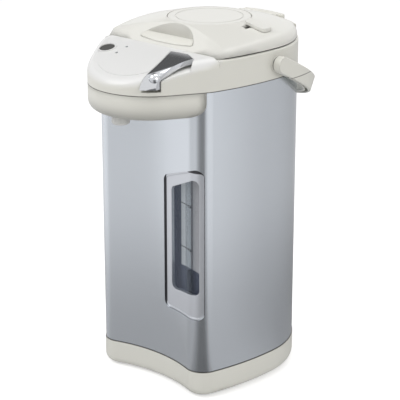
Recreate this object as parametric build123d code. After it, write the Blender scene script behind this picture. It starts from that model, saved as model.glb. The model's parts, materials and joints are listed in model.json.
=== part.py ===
from build123d import *
from math import asin, acos, atan2, cos, degrees, hypot, radians, sin, sqrt
import os

# An electric thermo pot, in millimetres. +Z is up, the spout points to -Y, and the origin is on
# the floor under the axis of the round water tank. Sizes across are tied to body_radius, sizes of
# the spout head to nose_y, and heights at the top of the pot to lid_top_z.

# ---- casing plan ---------------------------------------------------------------------------
body_radius = 92.0               # round back of the casing, about the tank axis
side_radius = 300.0              # the two sides run forward on this radius
corner_y = -body_radius - 15.5   # front corners before they are rounded
front_rise = 17.0                # how far the hollow front face stands behind its corners
corner_round = 20.0
nose_radius = body_radius - 27.5    # round front of the spout head
nose_y = corner_y + 12.2         # centre of that round
cheek_y = corner_y + 17.0        # where the head leaves the casing side and tapers to the nose

# ---- heights -------------------------------------------------------------------------------
ring_height = 2.5                # rubber ring under the base
base_foot = 1.5                  # underside of the base shell
base_top = 30.0
lid_top_z = 391.0                # overall height
seam_top = lid_top_z - 22.0      # seam between shoulder and lid
shell_top = lid_top_z - 53.0
chin_bottom = lid_top_z - 80.0
nozzle_bottom = chin_bottom - 9.5

# ---- walls and gaps ------------------------------------------------------------------------
plastic_wall = 3.0
thin_wall = 1.5                  # ribs and walls of the lever's trough
skin_wall = 0.8                  # metal casing skin
skin_inset = 0.6                 # the skin stands this far inside the plastic above and below
tongue = 6.0                     # height of the rib that locates the skin
tongue_inset = 4.5               # inner face of that rib
fit_gap = 0.3
turn_gap = 0.05                  # radial running clearance of pins
touch = 0.02                     # pieces that rest on each other stand this far apart
over = 1.0                       # cuts start this far outside what they cut
reach = 40.0                     # length of cuts that only have to pass through

# ---- base ----------------------------------------------------------------------------------
base_round = 9.0
ring_radius = body_radius - 28.0
ring_width = 6.0
hatch_radius = body_radius - 42.0   # hole in the base floor
cover_radius = body_radius - 35.5
cover_wall = 1.5
vent_count = 12
vent_length = 16.0
vent_width = 3.0
vent_place = 30.0
base_screw_radius = body_radius - 39.0
base_screw_count = 4
base_screw_start = 45            # degrees from +X
screw_head_radius = 3.2
screw_head_height = 0.9
screw_shank_radius = 1.5
screw_length = 9.0
screw_boss_radius = 4.0
screw_boss_height = 9.0

# ---- water tank ----------------------------------------------------------------------------
tank_radius = body_radius - 16.0    # inside
tank_wall = 1.0
tank_floor = 62.0
tank_rim = lid_top_z - 45.0
tank_flange = 8.0
seal_wall = 1.5
tank_dish = 10.0
outlet_radius = 6.0
outlet_y = 26.0 - tank_radius
outlet_length = 9.0
heater_outer = 41.0
heater_inner = 22.0
heater_wall = 5.0
thermostat_radius = 8.0
thermostat_height = 6.0
thermostat_neck = 6.0            # radius of its lower part
thermostat_neck_height = 5.0
fuse_radius = 2.9
fuse_half = 8.0

# ---- pump and hoses ------------------------------------------------------------------------
pump_radius = 19.0
motor_height = 17.0
pump_body_height = 15.0
pump_wall = 2.0
motor_radius = 13.5
rotor_radius = 11.0
rotor_hub_radius = 4.5
rotor_vanes = 6
vane_wall = 1.6
vane_drop = 2.0                  # the vanes end this far below the hub
rotor_gap = 0.6
port_radius = 4.0                # stubs that the hoses slide onto
port_bore = 3.0
port_length = 7.0
hose_wall = 1.4
feed_hose_wall = 2.0
port_y = outlet_y - 14.0         # the pump's outlet leaves sideways here
hose_top = lid_top_z - 47.0      # the spout hose crosses over the casing at this height

# ---- level window --------------------------------------------------------------------------
window_left = 13.5
window_right = body_radius - 17.7
window_bottom = 89.5
window_left_top = 238.0
window_right_top = 259.0
glass_left = 24.0
glass_right = body_radius - 23.2
glass_bottom = 112.5
glass_bottom_rise = 5.0
glass_left_top = 226.5
glass_right_top = 247.0
window_round = 8.0
glass_round = 6.0
bezel_depth = 4.0
bezel_sink = 1.6                 # the bezel face stands this far inside the skin
bezel_lip = 3.0                  # its hidden flange reaches this far behind the skin
bezel_lip_wall = 2.0
lens_sink = 0.5                  # the lens stands this far behind the bezel's face
lens_wall = 2.0
gauge_x = body_radius / 2
gauge_inset = 10.0
gauge_bottom = 76.0
gauge_top = lid_top_z - 91.0
backing_inset = 14.1
backing_back = corner_y + 47.5   # the cell behind the window ends here
backing_margin = 3.0
backing_reach = 10.0             # the tray runs this far past the window, up and down

# ---- head ----------------------------------------------------------------------------------
nose_back = 12.5 - body_radius   # the lid ends just behind this line
crest_top = lid_top_z - 19.5
crest_reach = nose_back - 35.5   # control point of the sloping panel
nose_front = nose_y - 72.7
nose_front_top = lid_top_z - 45.0
nose_round = 11.0
nose_bevel = 5.0                 # inside the rim
cheek_round = 25.0
seam_round = 2.0                 # rim of the shoulder along the lid seam
well_radius = body_radius - 12.0    # the mouth that the inner lid drops into
well_wall = 2.5
ledge_wall = 2.0
ledge_radius = body_radius - 20.0
deck_y = body_radius - 19.0      # rear deck behind the lid
deck_top = lid_top_z - 14.0
chin_round = 10.0
chin_heel = 16.0
chin_back = corner_y + 14.0

# ---- spout ---------------------------------------------------------------------------------
nozzle_y = nose_y - 43.7
nozzle_radius = 9.3
nozzle_bore = 5.0
nozzle_lip = 1.2
nozzle_top = chin_bottom + 19.0
nozzle_flange = 10.5
nozzle_flange_wall = 2.5

# ---- control panel -------------------------------------------------------------------------
panel_skin = 0.5
panel_right = 36.0
button_x = -46.0
button_y = nose_y - 15.7
button_radius = 8.0
button_rise = 0.8
button_rim = 0.6
button_length = 6.0
button_travel = 2.0
ring_band = 1.6                  # width of the ring round the button
ring_wall = 1.2
lens_x = -27.5
lens_ys = (nose_y - 5.7, nose_y - 20.7)
lens_radius = 1.4
lens_length = 5.0
lens_rise = 0.8
board_x = -22.0
board_width = 60.0
board_depth = 26.0
board_wall = 1.6
board_drop = 13.0
board_posts = (-10.0, 26.0)      # along the board from its middle
post_radius = 2.5
button_switch_width = 6.0

# ---- dispensing lever ----------------------------------------------------------------------
lever_back_left = (24.3, nose_y + 5.5)
lever_shoulder = (45.6, nose_y + 7.5)
lever_back_right = (60.6, nose_y - 1.2)
lever_waist = (54.2, nose_y - 18.7)
lever_tip_right = (50.5, nose_y - 50.7)
lever_tip_left = (38.0, nose_y - 56.7)
lever_side = (35.7, nose_y - 27.7)
lever_rise = 0.6                 # top face above the panel
lever_wall = 1.4
lever_overhang = 2.8             # the tip hangs this far over the rim of the nose
lever_round = 16.0               # bend of the tip
lever_skirt = 4.6                # the side skirts reach this far under the panel
lever_tip_bottom = lid_top_z - 45.8
lever_pivot_y = nose_y + 1.3
lever_pivot_drop = 3.4           # pivot axis under the panel
lever_pin_radius = 1.5
lever_pin_left = 22.0
lever_pin_right = 63.6
lever_boss_wall = 1.7
lever_boss_left = 26.5
lever_boss_right = 57.5
pocket_gap = 0.8
pocket_depth = 7.3
rim_gap = 3.0                    # the trough goes this far under the tip, which swings down
rim_reach = 8.0
rim_back = nose_y - 16.0
opening_back = (61.6, nose_y - 1.5)     # the trough is open to the right from here
opening_rim = (67.5, nose_y - 12.0)
opening_side = (90.0, nose_y - 35.0)
opening_front = (60.0, nose_y - 75.0)
lever_spring_x = 40.0
lever_spring_y = nose_y - 9.2
lever_spring_radius = 2.6
lever_spring_wire = 1.0
lever_switch_x = 43.0
lever_switch_y = nose_y - 26.7
switch_width = 5.0
switch_depth = 8.0
switch_height = 4.1
stud_x = 46.0
stud_y = nose_y - 41.4
stud_radius = 5.8
stud_height = 4.0
stud_lift = 0.9                  # its flat seat above the plain bend
stud_stem = 3.0
stud_sink = 1.5                  # the stem passes through the lever's wall

# ---- lid -----------------------------------------------------------------------------------
lid_inset = 1.5
lid_front = nose_back + 1.5
lid_back = body_radius - 20.0
lid_front_top = lid_top_z - 20.0
brow_y = lid_front + 28.0        # the front slope meets the dome here
dome_radius = body_radius / 2    # flat middle of the dome
dome_edge_radius = body_radius + 3.0
dome_edge_z = lid_top_z - 12.0
lid_round = 9.0
lid_bevel = 4.0                  # inside the rim
lid_corner = 10.0
lid_wall = 2.8
lid_seam_wall = 8.0              # the blank runs this far past the lid's front
lid_gap = 0.6                    # dark seam between lid and shoulder
hinge_y = body_radius - 16.0
hinge_z = lid_top_z - 13.0
hinge_pin_radius = 2.5
knuckle_radius = 4.6
knuckle_half = 21.0
knuckle_root = 6.0               # the lid's knuckle starts this far inside its back
ear_gap = 0.5
ear_wall = 5.0
cover_half = 28.0
cover_front = body_radius - 8.5
cover_top = lid_top_z - 9.5
cover_round = 1.5

# ---- finger recess and latch ---------------------------------------------------------------
recess_half = 38.0
recess_ends_y = lid_front + 6.0
recess_front = lid_front + 3.8
recess_back = lid_front + 27.0
recess_floor = lid_top_z - 19.1
recess_wall = 2.0
recess_round = 2.0
latch_gap = 0.6
latch_front = lid_front + 4.6
latch_back = lid_front + 13.4
latch_low = recess_floor + 1.0
latch_edge = 1.2                 # height of the paddle's front edge
latch_high = recess_floor + 8.5
latch_crown = recess_floor + 6.5
latch_lip = recess_floor + 4.7   # underside of the rear edge, where the finger pulls
latch_pivot_y = lid_front + 7.5
latch_pivot_z = recess_floor + 2.5
latch_heel = 2.5                 # the underside rises from this far behind the pivot
latch_pin_radius = 1.0
latch_pin_half = 37.2
latch_arm_half = 9.0
latch_arm_wall = 2.0
latch_arm_bottom = recess_floor - 11.9
latch_hook = 4.2
latch_swing = 2.0                # the arm's slots end this far behind its pivot
latch_hook_wall = 2.5
keeper_reach = 1.2
keeper_height = 3.0

# ---- lid, inside ---------------------------------------------------------------------------
flange_wall = 2.0
flange_inset = 4.6
cup_radius = body_radius - 26.0
cup_wall = 2.0
cup_bottom = lid_top_z - 39.0
cup_flange_radius = body_radius - 17.5
liner_radius = body_radius - 24.5
liner_wall = 1.0
seal_inner_radius = body_radius - 24.0
seal_radius = body_radius - 16.5
seal_lip = 0.6

# ---- air pump ------------------------------------------------------------------------------
plate_y = -4.0
plate_radius = dome_radius - 1.4
plate_gap = 0.6
plate_skirt = 12.0
plate_wall = 2.5
plate_rim = 0.8
plate_groove = dome_radius - 10.0   # ring groove in the plate
plate_groove_width = 1.0
plate_groove_depth = 0.5
plate_well_wall = 2.2
bellows_radius = dome_radius - 12.0
bellows_fold = 6.0
bellows_folds = 2
bellows_wall = 1.2
pump_spring_radius = 14.0
pump_spring_wire = 1.5
lock_inner = dome_radius + 4.0
lock_outer = dome_radius + 30.0
lock_width = 16.0
lock_round = 4.0
lock_rise = 4.0
lock_sink = 0.4                  # clearance under the tab
lock_slot_inner = dome_radius + 8.0
lock_slot_outer = dome_radius + 14.0
lock_stem_angle = 8.0
lock_turn = 11.0                 # degrees
lock_angle = 5.0                 # at rest, from +X towards the back
lock_foot = 2.5
lock_foot_drop = 8.0             # the foot lies this far under the lid's wall

# ---- handle --------------------------------------------------------------------------------
handle_y = -4.0
handle_z = lid_top_z - 37.0
handle_tilt = 27.0               # hangs this far below level
handle_outer = body_radius + 12.0   # half width of the bail
handle_wall = 9.0
handle_width = 17.5
handle_straight = 20.0
handle_channel = 3.0             # wall of the moulded channel
handle_rim = 1.0
pivot_radius = 5.0
pivot_collar = 8.0
pivot_root = 8.0                 # the collars and pivots start this far inside the casing line
collar_rise = 2.7
handle_block = 13.0              # the arms are solid this far round their pivots

# ---- power inlet ---------------------------------------------------------------------------
inlet_z = 48.5
inlet_width = 40.0
inlet_height = 22.0
inlet_back = body_radius - 18.0
inlet_wall = 3.0
inlet_floor_y = body_radius - 12.0
inlet_flange = 4.0
inlet_flange_wall = 2.0
inlet_pin_radius = 2.0
inlet_pin_length = 5.0
inlet_pin_root = 4.0
inlet_pin_pitch = 7.0

# ---- values worked out from the ones above ---------------------------------------------------
floor_top = base_foot + plastic_wall
ledge_under = tank_rim + seal_wall
ledge_top = ledge_under + ledge_wall
well_top = seam_top - plastic_wall
motor_bottom = floor_top + touch
pump_bottom = motor_bottom + motor_height
pump_top = pump_bottom + pump_body_height
hose_bore = port_radius + touch
hose_radius = hose_bore + hose_wall
plate_bottom = lid_top_z - plate_wall
cup_floor = cup_bottom + cup_wall
beyond = body_radius + reach     # outside the pot in any direction

nodes = {}


# ---- shared shapes -------------------------------------------------------------------------
def block(x0, x1, y0, y1, z0, z1):
    """A box between two corners."""
    return Pos((x0 + x1) / 2, (y0 + y1) / 2, (z0 + z1) / 2) * Box(x1 - x0, y1 - y0, z1 - z0)


def rod(radius, z0, z1, x=0.0, y=0.0):
    """An upright cylinder."""
    return Pos(x, y, (z0 + z1) / 2) * Cylinder(radius, z1 - z0)


def tube(outer, bore, z0, z1, x=0.0, y=0.0):
    """An upright pipe."""
    return rod(outer, z0, z1, x, y) - rod(bore, z0 - over, z1 + over, x, y)


def cross_rod(radius, x0, x1, y, z):
    """A cylinder along X."""
    return Pos((x0 + x1) / 2, y, z) * Rot(0, 90, 0) * Cylinder(radius, x1 - x0)


def arc_x(centre_x, radius, y):
    """X of a side arc, whose centre lies on y = 0, at a given y."""
    return centre_x + sqrt(radius * radius - y * y)


def front_radius():
    """Radius of the hollow front face, from its rise and its corners."""
    half = arc_x(body_radius - side_radius, side_radius, corner_y)
    return (half * half + front_rise * front_rise) / (2 * front_rise)


def front_centre():
    """The hollow front is an arc about a point in front of the pot."""
    return corner_y + front_rise - front_radius()


def casing_plan(inset=0.0):
    """D-shaped outline of the casing, stepped inwards by inset."""
    side_x = body_radius - side_radius
    side_r = side_radius - inset
    front_r = front_radius() + inset
    front_y = front_centre()
    span = hypot(side_x, front_y)
    along = (side_r * side_r - front_r * front_r + span * span) / (2 * span)
    across = sqrt(side_r * side_r - along * along)
    x = side_x - (along * side_x + across * front_y) / span
    y = (along * front_y - across * side_x) / span
    swing = degrees(asin(-y / side_r))
    half = degrees(asin(x / front_r))
    back = CenterArc((0, 0), body_radius - inset, 0, 180)
    right = CenterArc((side_x, 0), side_r, -swing, swing)
    left = CenterArc((-side_x, 0), side_r, 180, swing)
    front = CenterArc((0, front_y), front_r, 90 - half, 2 * half)
    plan = make_face([back, right, left, front])
    corners = plan.vertices().sort_by(Axis.Y)[0:2]
    return fillet(corners, corner_round - inset)


def casing(inset, z0, z1):
    """The casing plan as an upright block."""
    return Pos(0, 0, z0) * extrude(casing_plan(inset), z1 - z0)


def head_outline():
    """Outline of the head: round back, the casing sides, a taper and the round nose."""
    side_x = body_radius - side_radius
    start_x = arc_x(side_x, side_radius, cheek_y)
    away = hypot(start_x, cheek_y - nose_y)
    angle = atan2(cheek_y - nose_y, start_x) - acos(nose_radius / away)
    touch_x = nose_radius * cos(angle)
    touch_y = nose_y + nose_radius * sin(angle)
    swing = degrees(asin(-cheek_y / side_radius))
    back = CenterArc((0, 0), body_radius, 0, 180)
    right = CenterArc((side_x, 0), side_radius, -swing, swing)
    left = CenterArc((-side_x, 0), side_radius, 180, swing)
    taper = Line((start_x, cheek_y), (touch_x, touch_y))
    mirror_taper = Line((-start_x, cheek_y), (-touch_x, touch_y))
    sweep = 180 + 2 * degrees(angle)
    nose = CenterArc((0, nose_y), nose_radius, 180 - degrees(angle), sweep)
    plan = make_face([back, right, left, taper, mirror_taper, nose])
    cheeks = [v for v in plan.vertices() if abs(v.Y - cheek_y) < touch]
    return fillet(cheeks, cheek_round)


def head_plan(inset=0.0):
    """The head outline stepped inwards."""
    if inset == 0:
        return head_outline()
    return offset(head_outline(), amount=-inset, kind=Kind.INTERSECTION)


def side_prism(face_line, half_width):
    """A side profile, drawn as (y, z), swept across the pot."""
    face = make_face(face_line)
    return extrude(Plane.YZ * face, half_width, both=True)


def panel_line(drop=0.0):
    """Side view of the sloping panel, from the lid to the front of the nose."""
    return Bezier(
        (nose_back, crest_top - drop),
        (crest_reach, crest_top - drop),
        (nose_front, nose_front_top - drop),
    )


def panel_z(y):
    """Height of the panel at a given y."""
    a = nose_back - 2 * crest_reach + nose_front
    b = 2 * (crest_reach - nose_back)
    c = nose_back - y
    t = (-b - sqrt(b * b - 4 * a * c)) / (2 * a)
    return crest_top + (nose_front_top - crest_top) * t * t


def panel_slope(y):
    """Slope angle of the panel at a given y, in degrees."""
    step = 0.5
    return degrees(atan2(panel_z(y + step) - panel_z(y - step), 2 * step))


def on_panel(x, y, lift=0.0):
    """A location on the panel with its Z along the panel's normal."""
    return Pos(x, y, panel_z(y)) * Rot(panel_slope(y), 0, 0) * Pos(0, 0, lift)


def nose_block(inset, drop, bottom, rounding, bevel=0.0):
    """The nose under its sloping panel, with a rounded or bevelled rim."""
    low = bottom - over
    front = nose_front - reach
    outline = [
        panel_line(drop),
        Polyline(
            (nose_front, nose_front_top - drop),
            (front, nose_front_top - drop),
            (front, low),
            (nose_back, low),
            (nose_back, crest_top - drop),
        ),
    ]
    prism = side_prism(outline, beyond)
    nose = (Pos(0, 0, bottom) * extrude(head_plan(inset), lid_top_z - bottom)) & prism
    panel = nose.faces().sort_by(Axis.Z)[-1]
    rim = [e for e in panel.edges() if e.center().Y < nose_back - touch]
    nose = chamfer(rim, bevel) if bevel else fillet(rim, rounding)
    return nose & block(-beyond, beyond, front, nose_back - max(inset, 0), low, lid_top_z)


def seat_block(inset, bottom):
    """The round part behind the nose: a flat seat for the lid and the rear deck."""
    column = Pos(0, 0, bottom) * extrude(head_plan(inset), deck_top - inset - bottom)
    column &= block(-beyond, beyond, nose_back - inset, beyond, bottom, deck_top)
    above = block(-beyond, beyond, nose_back - inset - over, deck_y + inset, seam_top - inset,
                  lid_top_z)
    return column - above


def window_plate(left, right, bottom, bottom_rise, left_top, right_top, corner, grow=0.0):
    """The slanted window outline as a prism through the right half of the front face."""
    outline = make_face(
        Polyline(
            (left - grow, bottom - grow),
            (right + grow, bottom + bottom_rise - grow),
            (right + grow, right_top + grow),
            (left - grow, left_top + grow),
            close=True,
        )
    )
    outline = fillet(outline.vertices(), corner + grow)
    return extrude(Plane.XZ.offset(beyond) * outline, corner_y)


def window_prism(grow=0.0):
    return window_plate(
        window_left, window_right, window_bottom, 0.0, window_left_top, window_right_top,
        window_round, grow,
    )


def glass_prism(grow=0.0):
    return window_plate(
        glass_left, glass_right, glass_bottom, glass_bottom_rise, glass_left_top,
        glass_right_top, glass_round, grow,
    )


def casing_band(outer, inner, z0, z1):
    """A wall that follows the casing between two insets."""
    return casing(outer, z0, z1) - casing(inner, z0 - over, z1 + over)


def cell(grow=0.0):
    """The space behind the window that holds the level tube."""
    return block(
        glass_left - backing_margin - grow, beyond, -beyond, backing_back + grow,
        glass_bottom - backing_margin - grow, glass_right_top + backing_margin + grow,
    )


# ---- base ----------------------------------------------------------------------------------
def round_places(count, start=0.0):
    """Turns that spread count copies round the pot."""
    return [Rot(0, 0, start + 360 * i / count) for i in range(count)]


def make_base_shell():
    body = casing(0, base_foot, base_top)
    body = fillet(body.edges().group_by(Axis.Z)[0], base_round)
    body -= casing(plastic_wall, floor_top, base_top + over)
    inner = skin_inset + skin_wall + fit_gap
    body += casing_band(plastic_wall - over, tongue_inset, base_top - tongue, base_top)
    body += casing_band(inner, tongue_inset, base_top - over, base_top + tongue)
    body -= inlet_block(inlet_flange + fit_gap)
    for turn in round_places(base_screw_count, base_screw_start):
        body += turn * rod(screw_boss_radius, floor_top - over, floor_top + screw_boss_height,
                           base_screw_radius)
    body -= rod(hatch_radius, 0, floor_top + over)
    body -= rod(cover_radius + fit_gap, 0, base_foot + cover_wall)
    for turn in round_places(base_screw_count, base_screw_start):
        body -= turn * rod(screw_shank_radius, 0, screw_length + base_foot + fit_gap,
                           base_screw_radius)
    half = ring_width / 2 + fit_gap
    return body - tube(ring_radius + half, ring_radius - half, 0, ring_height)


def make_bottom_cover():
    cover = rod(cover_radius, base_foot, base_foot + cover_wall)
    slot = Pos(vent_place, 0, 0) * Box(vent_length, vent_width, reach)
    for turn in round_places(vent_count):
        cover -= turn * slot
    for turn in round_places(base_screw_count, base_screw_start):
        cover -= turn * rod(screw_shank_radius + fit_gap, 0, floor_top, base_screw_radius)
    return cover


def make_base_screws():
    head = rod(screw_head_radius, base_foot - screw_head_height, base_foot - touch,
               base_screw_radius)
    shank = rod(screw_shank_radius, base_foot - screw_head_height, base_foot + screw_length,
                base_screw_radius)
    return [turn * (head + shank) for turn in round_places(base_screw_count, base_screw_start)]


def make_anti_slip_ring():
    return tube(ring_radius + ring_width / 2, ring_radius - ring_width / 2, 0, ring_height)


# ---- casing skin and window ----------------------------------------------------------------
def inlet_block(grow=0.0):
    """The space that the power inlet takes in the skin."""
    return block(
        -inlet_width / 2 - grow, inlet_width / 2 + grow, inlet_back - grow, beyond,
        inlet_z - inlet_height / 2 - grow, inlet_z + inlet_height / 2 + grow,
    )


def make_outer_shell():
    skin = casing_band(skin_inset, skin_inset + skin_wall, base_top, shell_top)
    return skin - window_prism() - inlet_block(fit_gap)


def make_window_bezel():
    front = bezel_sink + skin_inset
    z0 = window_bottom - backing_reach
    z1 = window_right_top + backing_reach
    face = casing_band(front, front + bezel_depth, z0, z1) & window_prism(-fit_gap)
    back = skin_inset + skin_wall + fit_gap
    flange = casing_band(back, back + bezel_lip_wall, z0, z1)
    flange &= window_prism(bezel_lip) - window_prism(-bezel_lip_wall)
    flange &= block(0, body_radius, corner_y, backing_back, z0, z1)
    tube_y = front_y(gauge_x, gauge_inset)
    bezel = face + flange - glass_prism()
    return bezel - rod(port_radius + fit_gap, z0, z1, gauge_x, tube_y)


def make_window_lens():
    front = bezel_sink + skin_inset + lens_sink
    band = casing_band(front, front + lens_wall, window_bottom, window_right_top)
    return band & glass_prism(-turn_gap)


def front_y(x, inset):
    """Y of the hollow front face at a given x and inset."""
    radius = front_radius() + inset
    return front_centre() + sqrt(radius * radius - x * x)


def make_gauge_tube():
    y = front_y(gauge_x, gauge_inset)
    return tube(port_radius, port_bore, gauge_bottom, gauge_top, gauge_x, y)


def make_gauge_backing():
    """A tray behind the window: it backs the level tube and closes the cell at the side."""
    front = bezel_sink + skin_inset + bezel_depth + turn_gap
    z0 = window_bottom - backing_reach
    z1 = window_right_top + backing_reach
    tray = casing_band(front, backing_inset + thin_wall, z0, z1) & cell(thin_wall)
    tray -= casing_band(front - over, backing_inset, z0, z1) & cell()
    y = front_y(gauge_x, gauge_inset)
    return tray - rod(port_radius + turn_gap, z0, z1, gauge_x, y)


# ---- tank, heater and pump -----------------------------------------------------------------
def make_inner_tank():
    outer = rod(tank_radius + tank_wall, tank_floor - tank_wall, tank_rim)
    outer = chamfer(outer.edges().group_by(Axis.Z)[0], tank_dish)
    inner = rod(tank_radius, tank_floor, tank_rim + over)
    inner = chamfer(inner.edges().group_by(Axis.Z)[0], tank_dish)
    tank = outer + rod(tank_radius + tank_flange, tank_rim - tank_wall, tank_rim) - inner
    tank += rod(outlet_radius, tank_floor - outlet_length, tank_floor, 0, outlet_y)
    return tank - rod(outlet_radius - tank_wall, 0, tank_floor + over, 0, outlet_y)


def make_tank_seal():
    return tube(tank_radius + tank_flange, tank_radius + tank_wall, tank_rim + touch,
                ledge_under - touch)


def make_heater():
    top = tank_floor - tank_wall - touch
    return tube(heater_outer, heater_inner, top - heater_wall, top)


def make_thermostats():
    top = tank_floor - tank_wall - heater_wall - 2 * touch
    low = top - thermostat_height
    one = rod(thermostat_radius, low, top)
    one += rod(thermostat_neck, low - thermostat_neck_height, low)
    middle = (heater_outer + heater_inner) / 2
    return [Pos(middle, 0, 0) * one, Pos(-middle, 0, 0) * one]


def make_thermal_fuse():
    top = tank_floor - tank_wall - touch
    return cross_rod(fuse_radius, -fuse_half, fuse_half, 0, top - fuse_radius)


def make_pump_motor():
    return rod(motor_radius, motor_bottom, pump_bottom - touch, 0, outlet_y)


def make_pump_housing():
    body = rod(pump_radius, pump_bottom, pump_top, 0, outlet_y)
    body += rod(outlet_radius, pump_top - over, pump_top + port_length, 0, outlet_y)
    port_z = (pump_bottom + pump_top) / 2
    stub = pump_radius + port_length
    body += cross_rod(port_radius, 0, stub, port_y, port_z)
    body -= rod(rotor_radius + pump_wall, pump_bottom + pump_wall, pump_top - pump_wall, 0,
                outlet_y)
    body -= rod(outlet_radius - tank_wall, pump_top - pump_wall - over, pump_top + reach, 0,
                outlet_y)
    return body - cross_rod(port_bore, rotor_radius / 2, stub + over, port_y, port_z)


def make_pump_rotor():
    low = pump_bottom + pump_wall + rotor_gap
    high = pump_top - pump_wall - rotor_gap
    rotor = rod(rotor_hub_radius, low, high) + rod(rotor_radius, low, low + pump_wall)
    vane = block(0, rotor_radius, -vane_wall / 2, vane_wall / 2, low, high - vane_drop)
    for turn in round_places(rotor_vanes):
        rotor += turn * vane
    return Pos(0, outlet_y, 0) * rotor


def make_feed_hose():
    """A short straight hose from the tank's outlet down to the pump."""
    bore = outlet_radius + touch
    return tube(bore + feed_hose_wall, bore, pump_top + touch, tank_floor - tank_wall - touch, 0,
                outlet_y)


def hose(points):
    """A hose of straight runs that meet in mitres."""
    path = Polyline(*points)
    start = Plane(origin=path @ 0, z_dir=path % 0)
    outer = sweep(start * Circle(hose_radius), path=path, transition=Transition.RIGHT)
    return outer - sweep(start * Circle(hose_bore), path=path, transition=Transition.RIGHT)


def make_riser_hose():
    """From the pump's outlet to the foot of the level tube."""
    z = (pump_bottom + pump_top) / 2
    y = front_y(gauge_x, gauge_inset)
    return hose(
        [(pump_radius, port_y, z), (gauge_x, port_y, z), (gauge_x, y, z),
         (gauge_x, y, gauge_bottom + port_length)]
    )


def make_spout_hose():
    """From the head of the level tube, over the casing and down to the nozzle."""
    y = front_y(gauge_x, gauge_inset)
    return hose(
        [(gauge_x, y, gauge_top - port_length), (gauge_x, y, hose_top),
         (0, nozzle_y, hose_top), (0, nozzle_y, nozzle_top - port_length + touch)]
    )


# ---- head ----------------------------------------------------------------------------------
def lever_plan(grow=0.0):
    """Outline of the lever: wide at its pivot, waisted, and narrow at its tip."""
    outline = make_face(
        [
            ThreePointArc(lever_back_left, lever_side, lever_tip_left),
            Line(lever_tip_left, lever_tip_right),
            ThreePointArc(lever_tip_right, lever_waist, lever_back_right),
            Line(lever_back_right, lever_shoulder),
            Line(lever_shoulder, lever_back_left),
        ]
    )
    if grow > 0:
        return offset(outline, amount=grow, kind=Kind.ARC)
    if grow < 0:
        return offset(outline, amount=grow, kind=Kind.INTERSECTION)
    return outline


def lever_column(grow):
    """The lever's outline as an upright column through the head."""
    return Pos(0, 0, shell_top) * extrude(lever_plan(grow), lid_top_z - shell_top)


def under_panel(drop):
    """Everything under the panel's side profile, lowered by drop."""
    low = shell_top - reach
    outline = [
        panel_line(drop),
        Polyline(
            (nose_front, nose_front_top - drop),
            (nose_front, low),
            (0, low),
            (0, crest_top - drop),
            (nose_back, crest_top - drop),
        ),
    ]
    return side_prism(outline, beyond)


def trough_column(grow):
    """The lever's outline with a gap, opened out over the right-hand rim of the nose."""
    side = make_face(
        Polyline(
            lever_shoulder, opening_back, opening_rim, opening_side, opening_front, lever_tip_left,
            close=True,
        )
    )
    side = offset(side, amount=grow, kind=Kind.ARC) if grow > 0 else side
    column = Pos(0, 0, shell_top) * extrude(side, lid_top_z - shell_top)
    return lever_column(pocket_gap + grow) + column


def lever_trough(grow=0.0):
    """The trough that the lever lies in, deeper where its tip comes down over the rim."""
    column = trough_column(grow)
    inside = Pos(0, 0, shell_top) * extrude(head_plan(rim_reach + grow), lid_top_z - shell_top)
    tip = lever_column(pocket_gap + grow)
    tip &= block(0, beyond, nose_front, rim_back, lever_tip_bottom - rim_gap - grow, lid_top_z)
    return (column - under_panel(pocket_depth + grow)) + (tip - inside)


def pivot_pin_z():
    return panel_z(lever_pivot_y) - lever_pivot_drop


def make_shoulder():
    nose = nose_block(0, 0, shell_top, nose_round)
    seat = seat_block(0, shell_top)
    rim = [
        e for e in seat.edges()
        if abs(e.center().Z - seam_top) < touch
        and e.center().Y > nose_back + over and abs(e.center().X) > ledge_radius
    ]
    seat = fillet(rim, seam_round)
    inner = nose_block(plastic_wall, plastic_wall, shell_top - over, 0, nose_bevel)
    inner += seat_block(plastic_wall, shell_top - over)
    inner -= rod(well_radius + well_wall, well_top, deck_top)
    inner -= lever_trough(thin_wall)
    shoulder = nose + seat - inner
    shoulder -= rod(well_radius, shell_top - over, deck_top)
    shoulder -= rod(well_radius + well_wall, shell_top - over, well_top)
    shoulder -= lever_trough()
    shoulder -= on_panel(button_x, button_y) * Cylinder(button_radius + fit_gap, reach)
    for y in lens_ys:
        shoulder -= on_panel(lens_x, y) * Cylinder(lens_radius + fit_gap / 2, reach / 2)
    shoulder -= cross_rod(lever_pin_radius + touch / 2, lever_pin_left, lever_pin_right,
                          lever_pivot_y, pivot_pin_z())
    low = body_radius - pivot_root
    high = body_radius + collar_rise
    collars = cross_rod(pivot_collar, -high, high, handle_y, handle_z)
    shoulder += collars - block(-low, low, -beyond, beyond, 0, lid_top_z)
    shoulder -= cross_rod(pivot_radius, low - over, beyond, handle_y, handle_z)
    shoulder -= cross_rod(pivot_radius, -beyond, over - low, handle_y, handle_z)
    half = knuckle_half + ear_gap
    ears = block(-half - ear_wall, half + ear_wall, deck_y, cover_front - fit_gap,
                 deck_top - plastic_wall, hinge_z)
    ears += cross_rod(knuckle_radius, -half - ear_wall, half + ear_wall, hinge_y, hinge_z)
    gap = block(-half, half, hinge_y - knuckle_radius - over, cover_front - fit_gap, seam_top,
                lid_top_z)
    shoulder = shoulder + ears - gap
    return shoulder - cross_rod(hinge_pin_radius + touch / 2, -half - ear_wall - over,
                                half + ear_wall + over, hinge_y, hinge_z)


def make_lid_well():
    """The round wall of the mouth, which hangs under the shoulder's top."""
    return tube(well_radius + well_wall, well_radius, ledge_top, well_top - touch) + keeper()


def make_seal_ledge():
    """The ring at the foot of the mouth, which rests on the tank's seal."""
    return tube(well_radius + well_wall, ledge_radius, ledge_under, ledge_top - touch)


def keeper():
    """A lip on the front wall of the mouth, above the latch's hook."""
    low = latch_arm_bottom + keeper_height
    lip = block(-latch_arm_half, latch_arm_half, -well_radius - over,
                keeper_reach - well_radius + over, low, low + keeper_height)
    return lip - rod(well_radius - keeper_reach, low - over, low + keeper_height + over)


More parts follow.
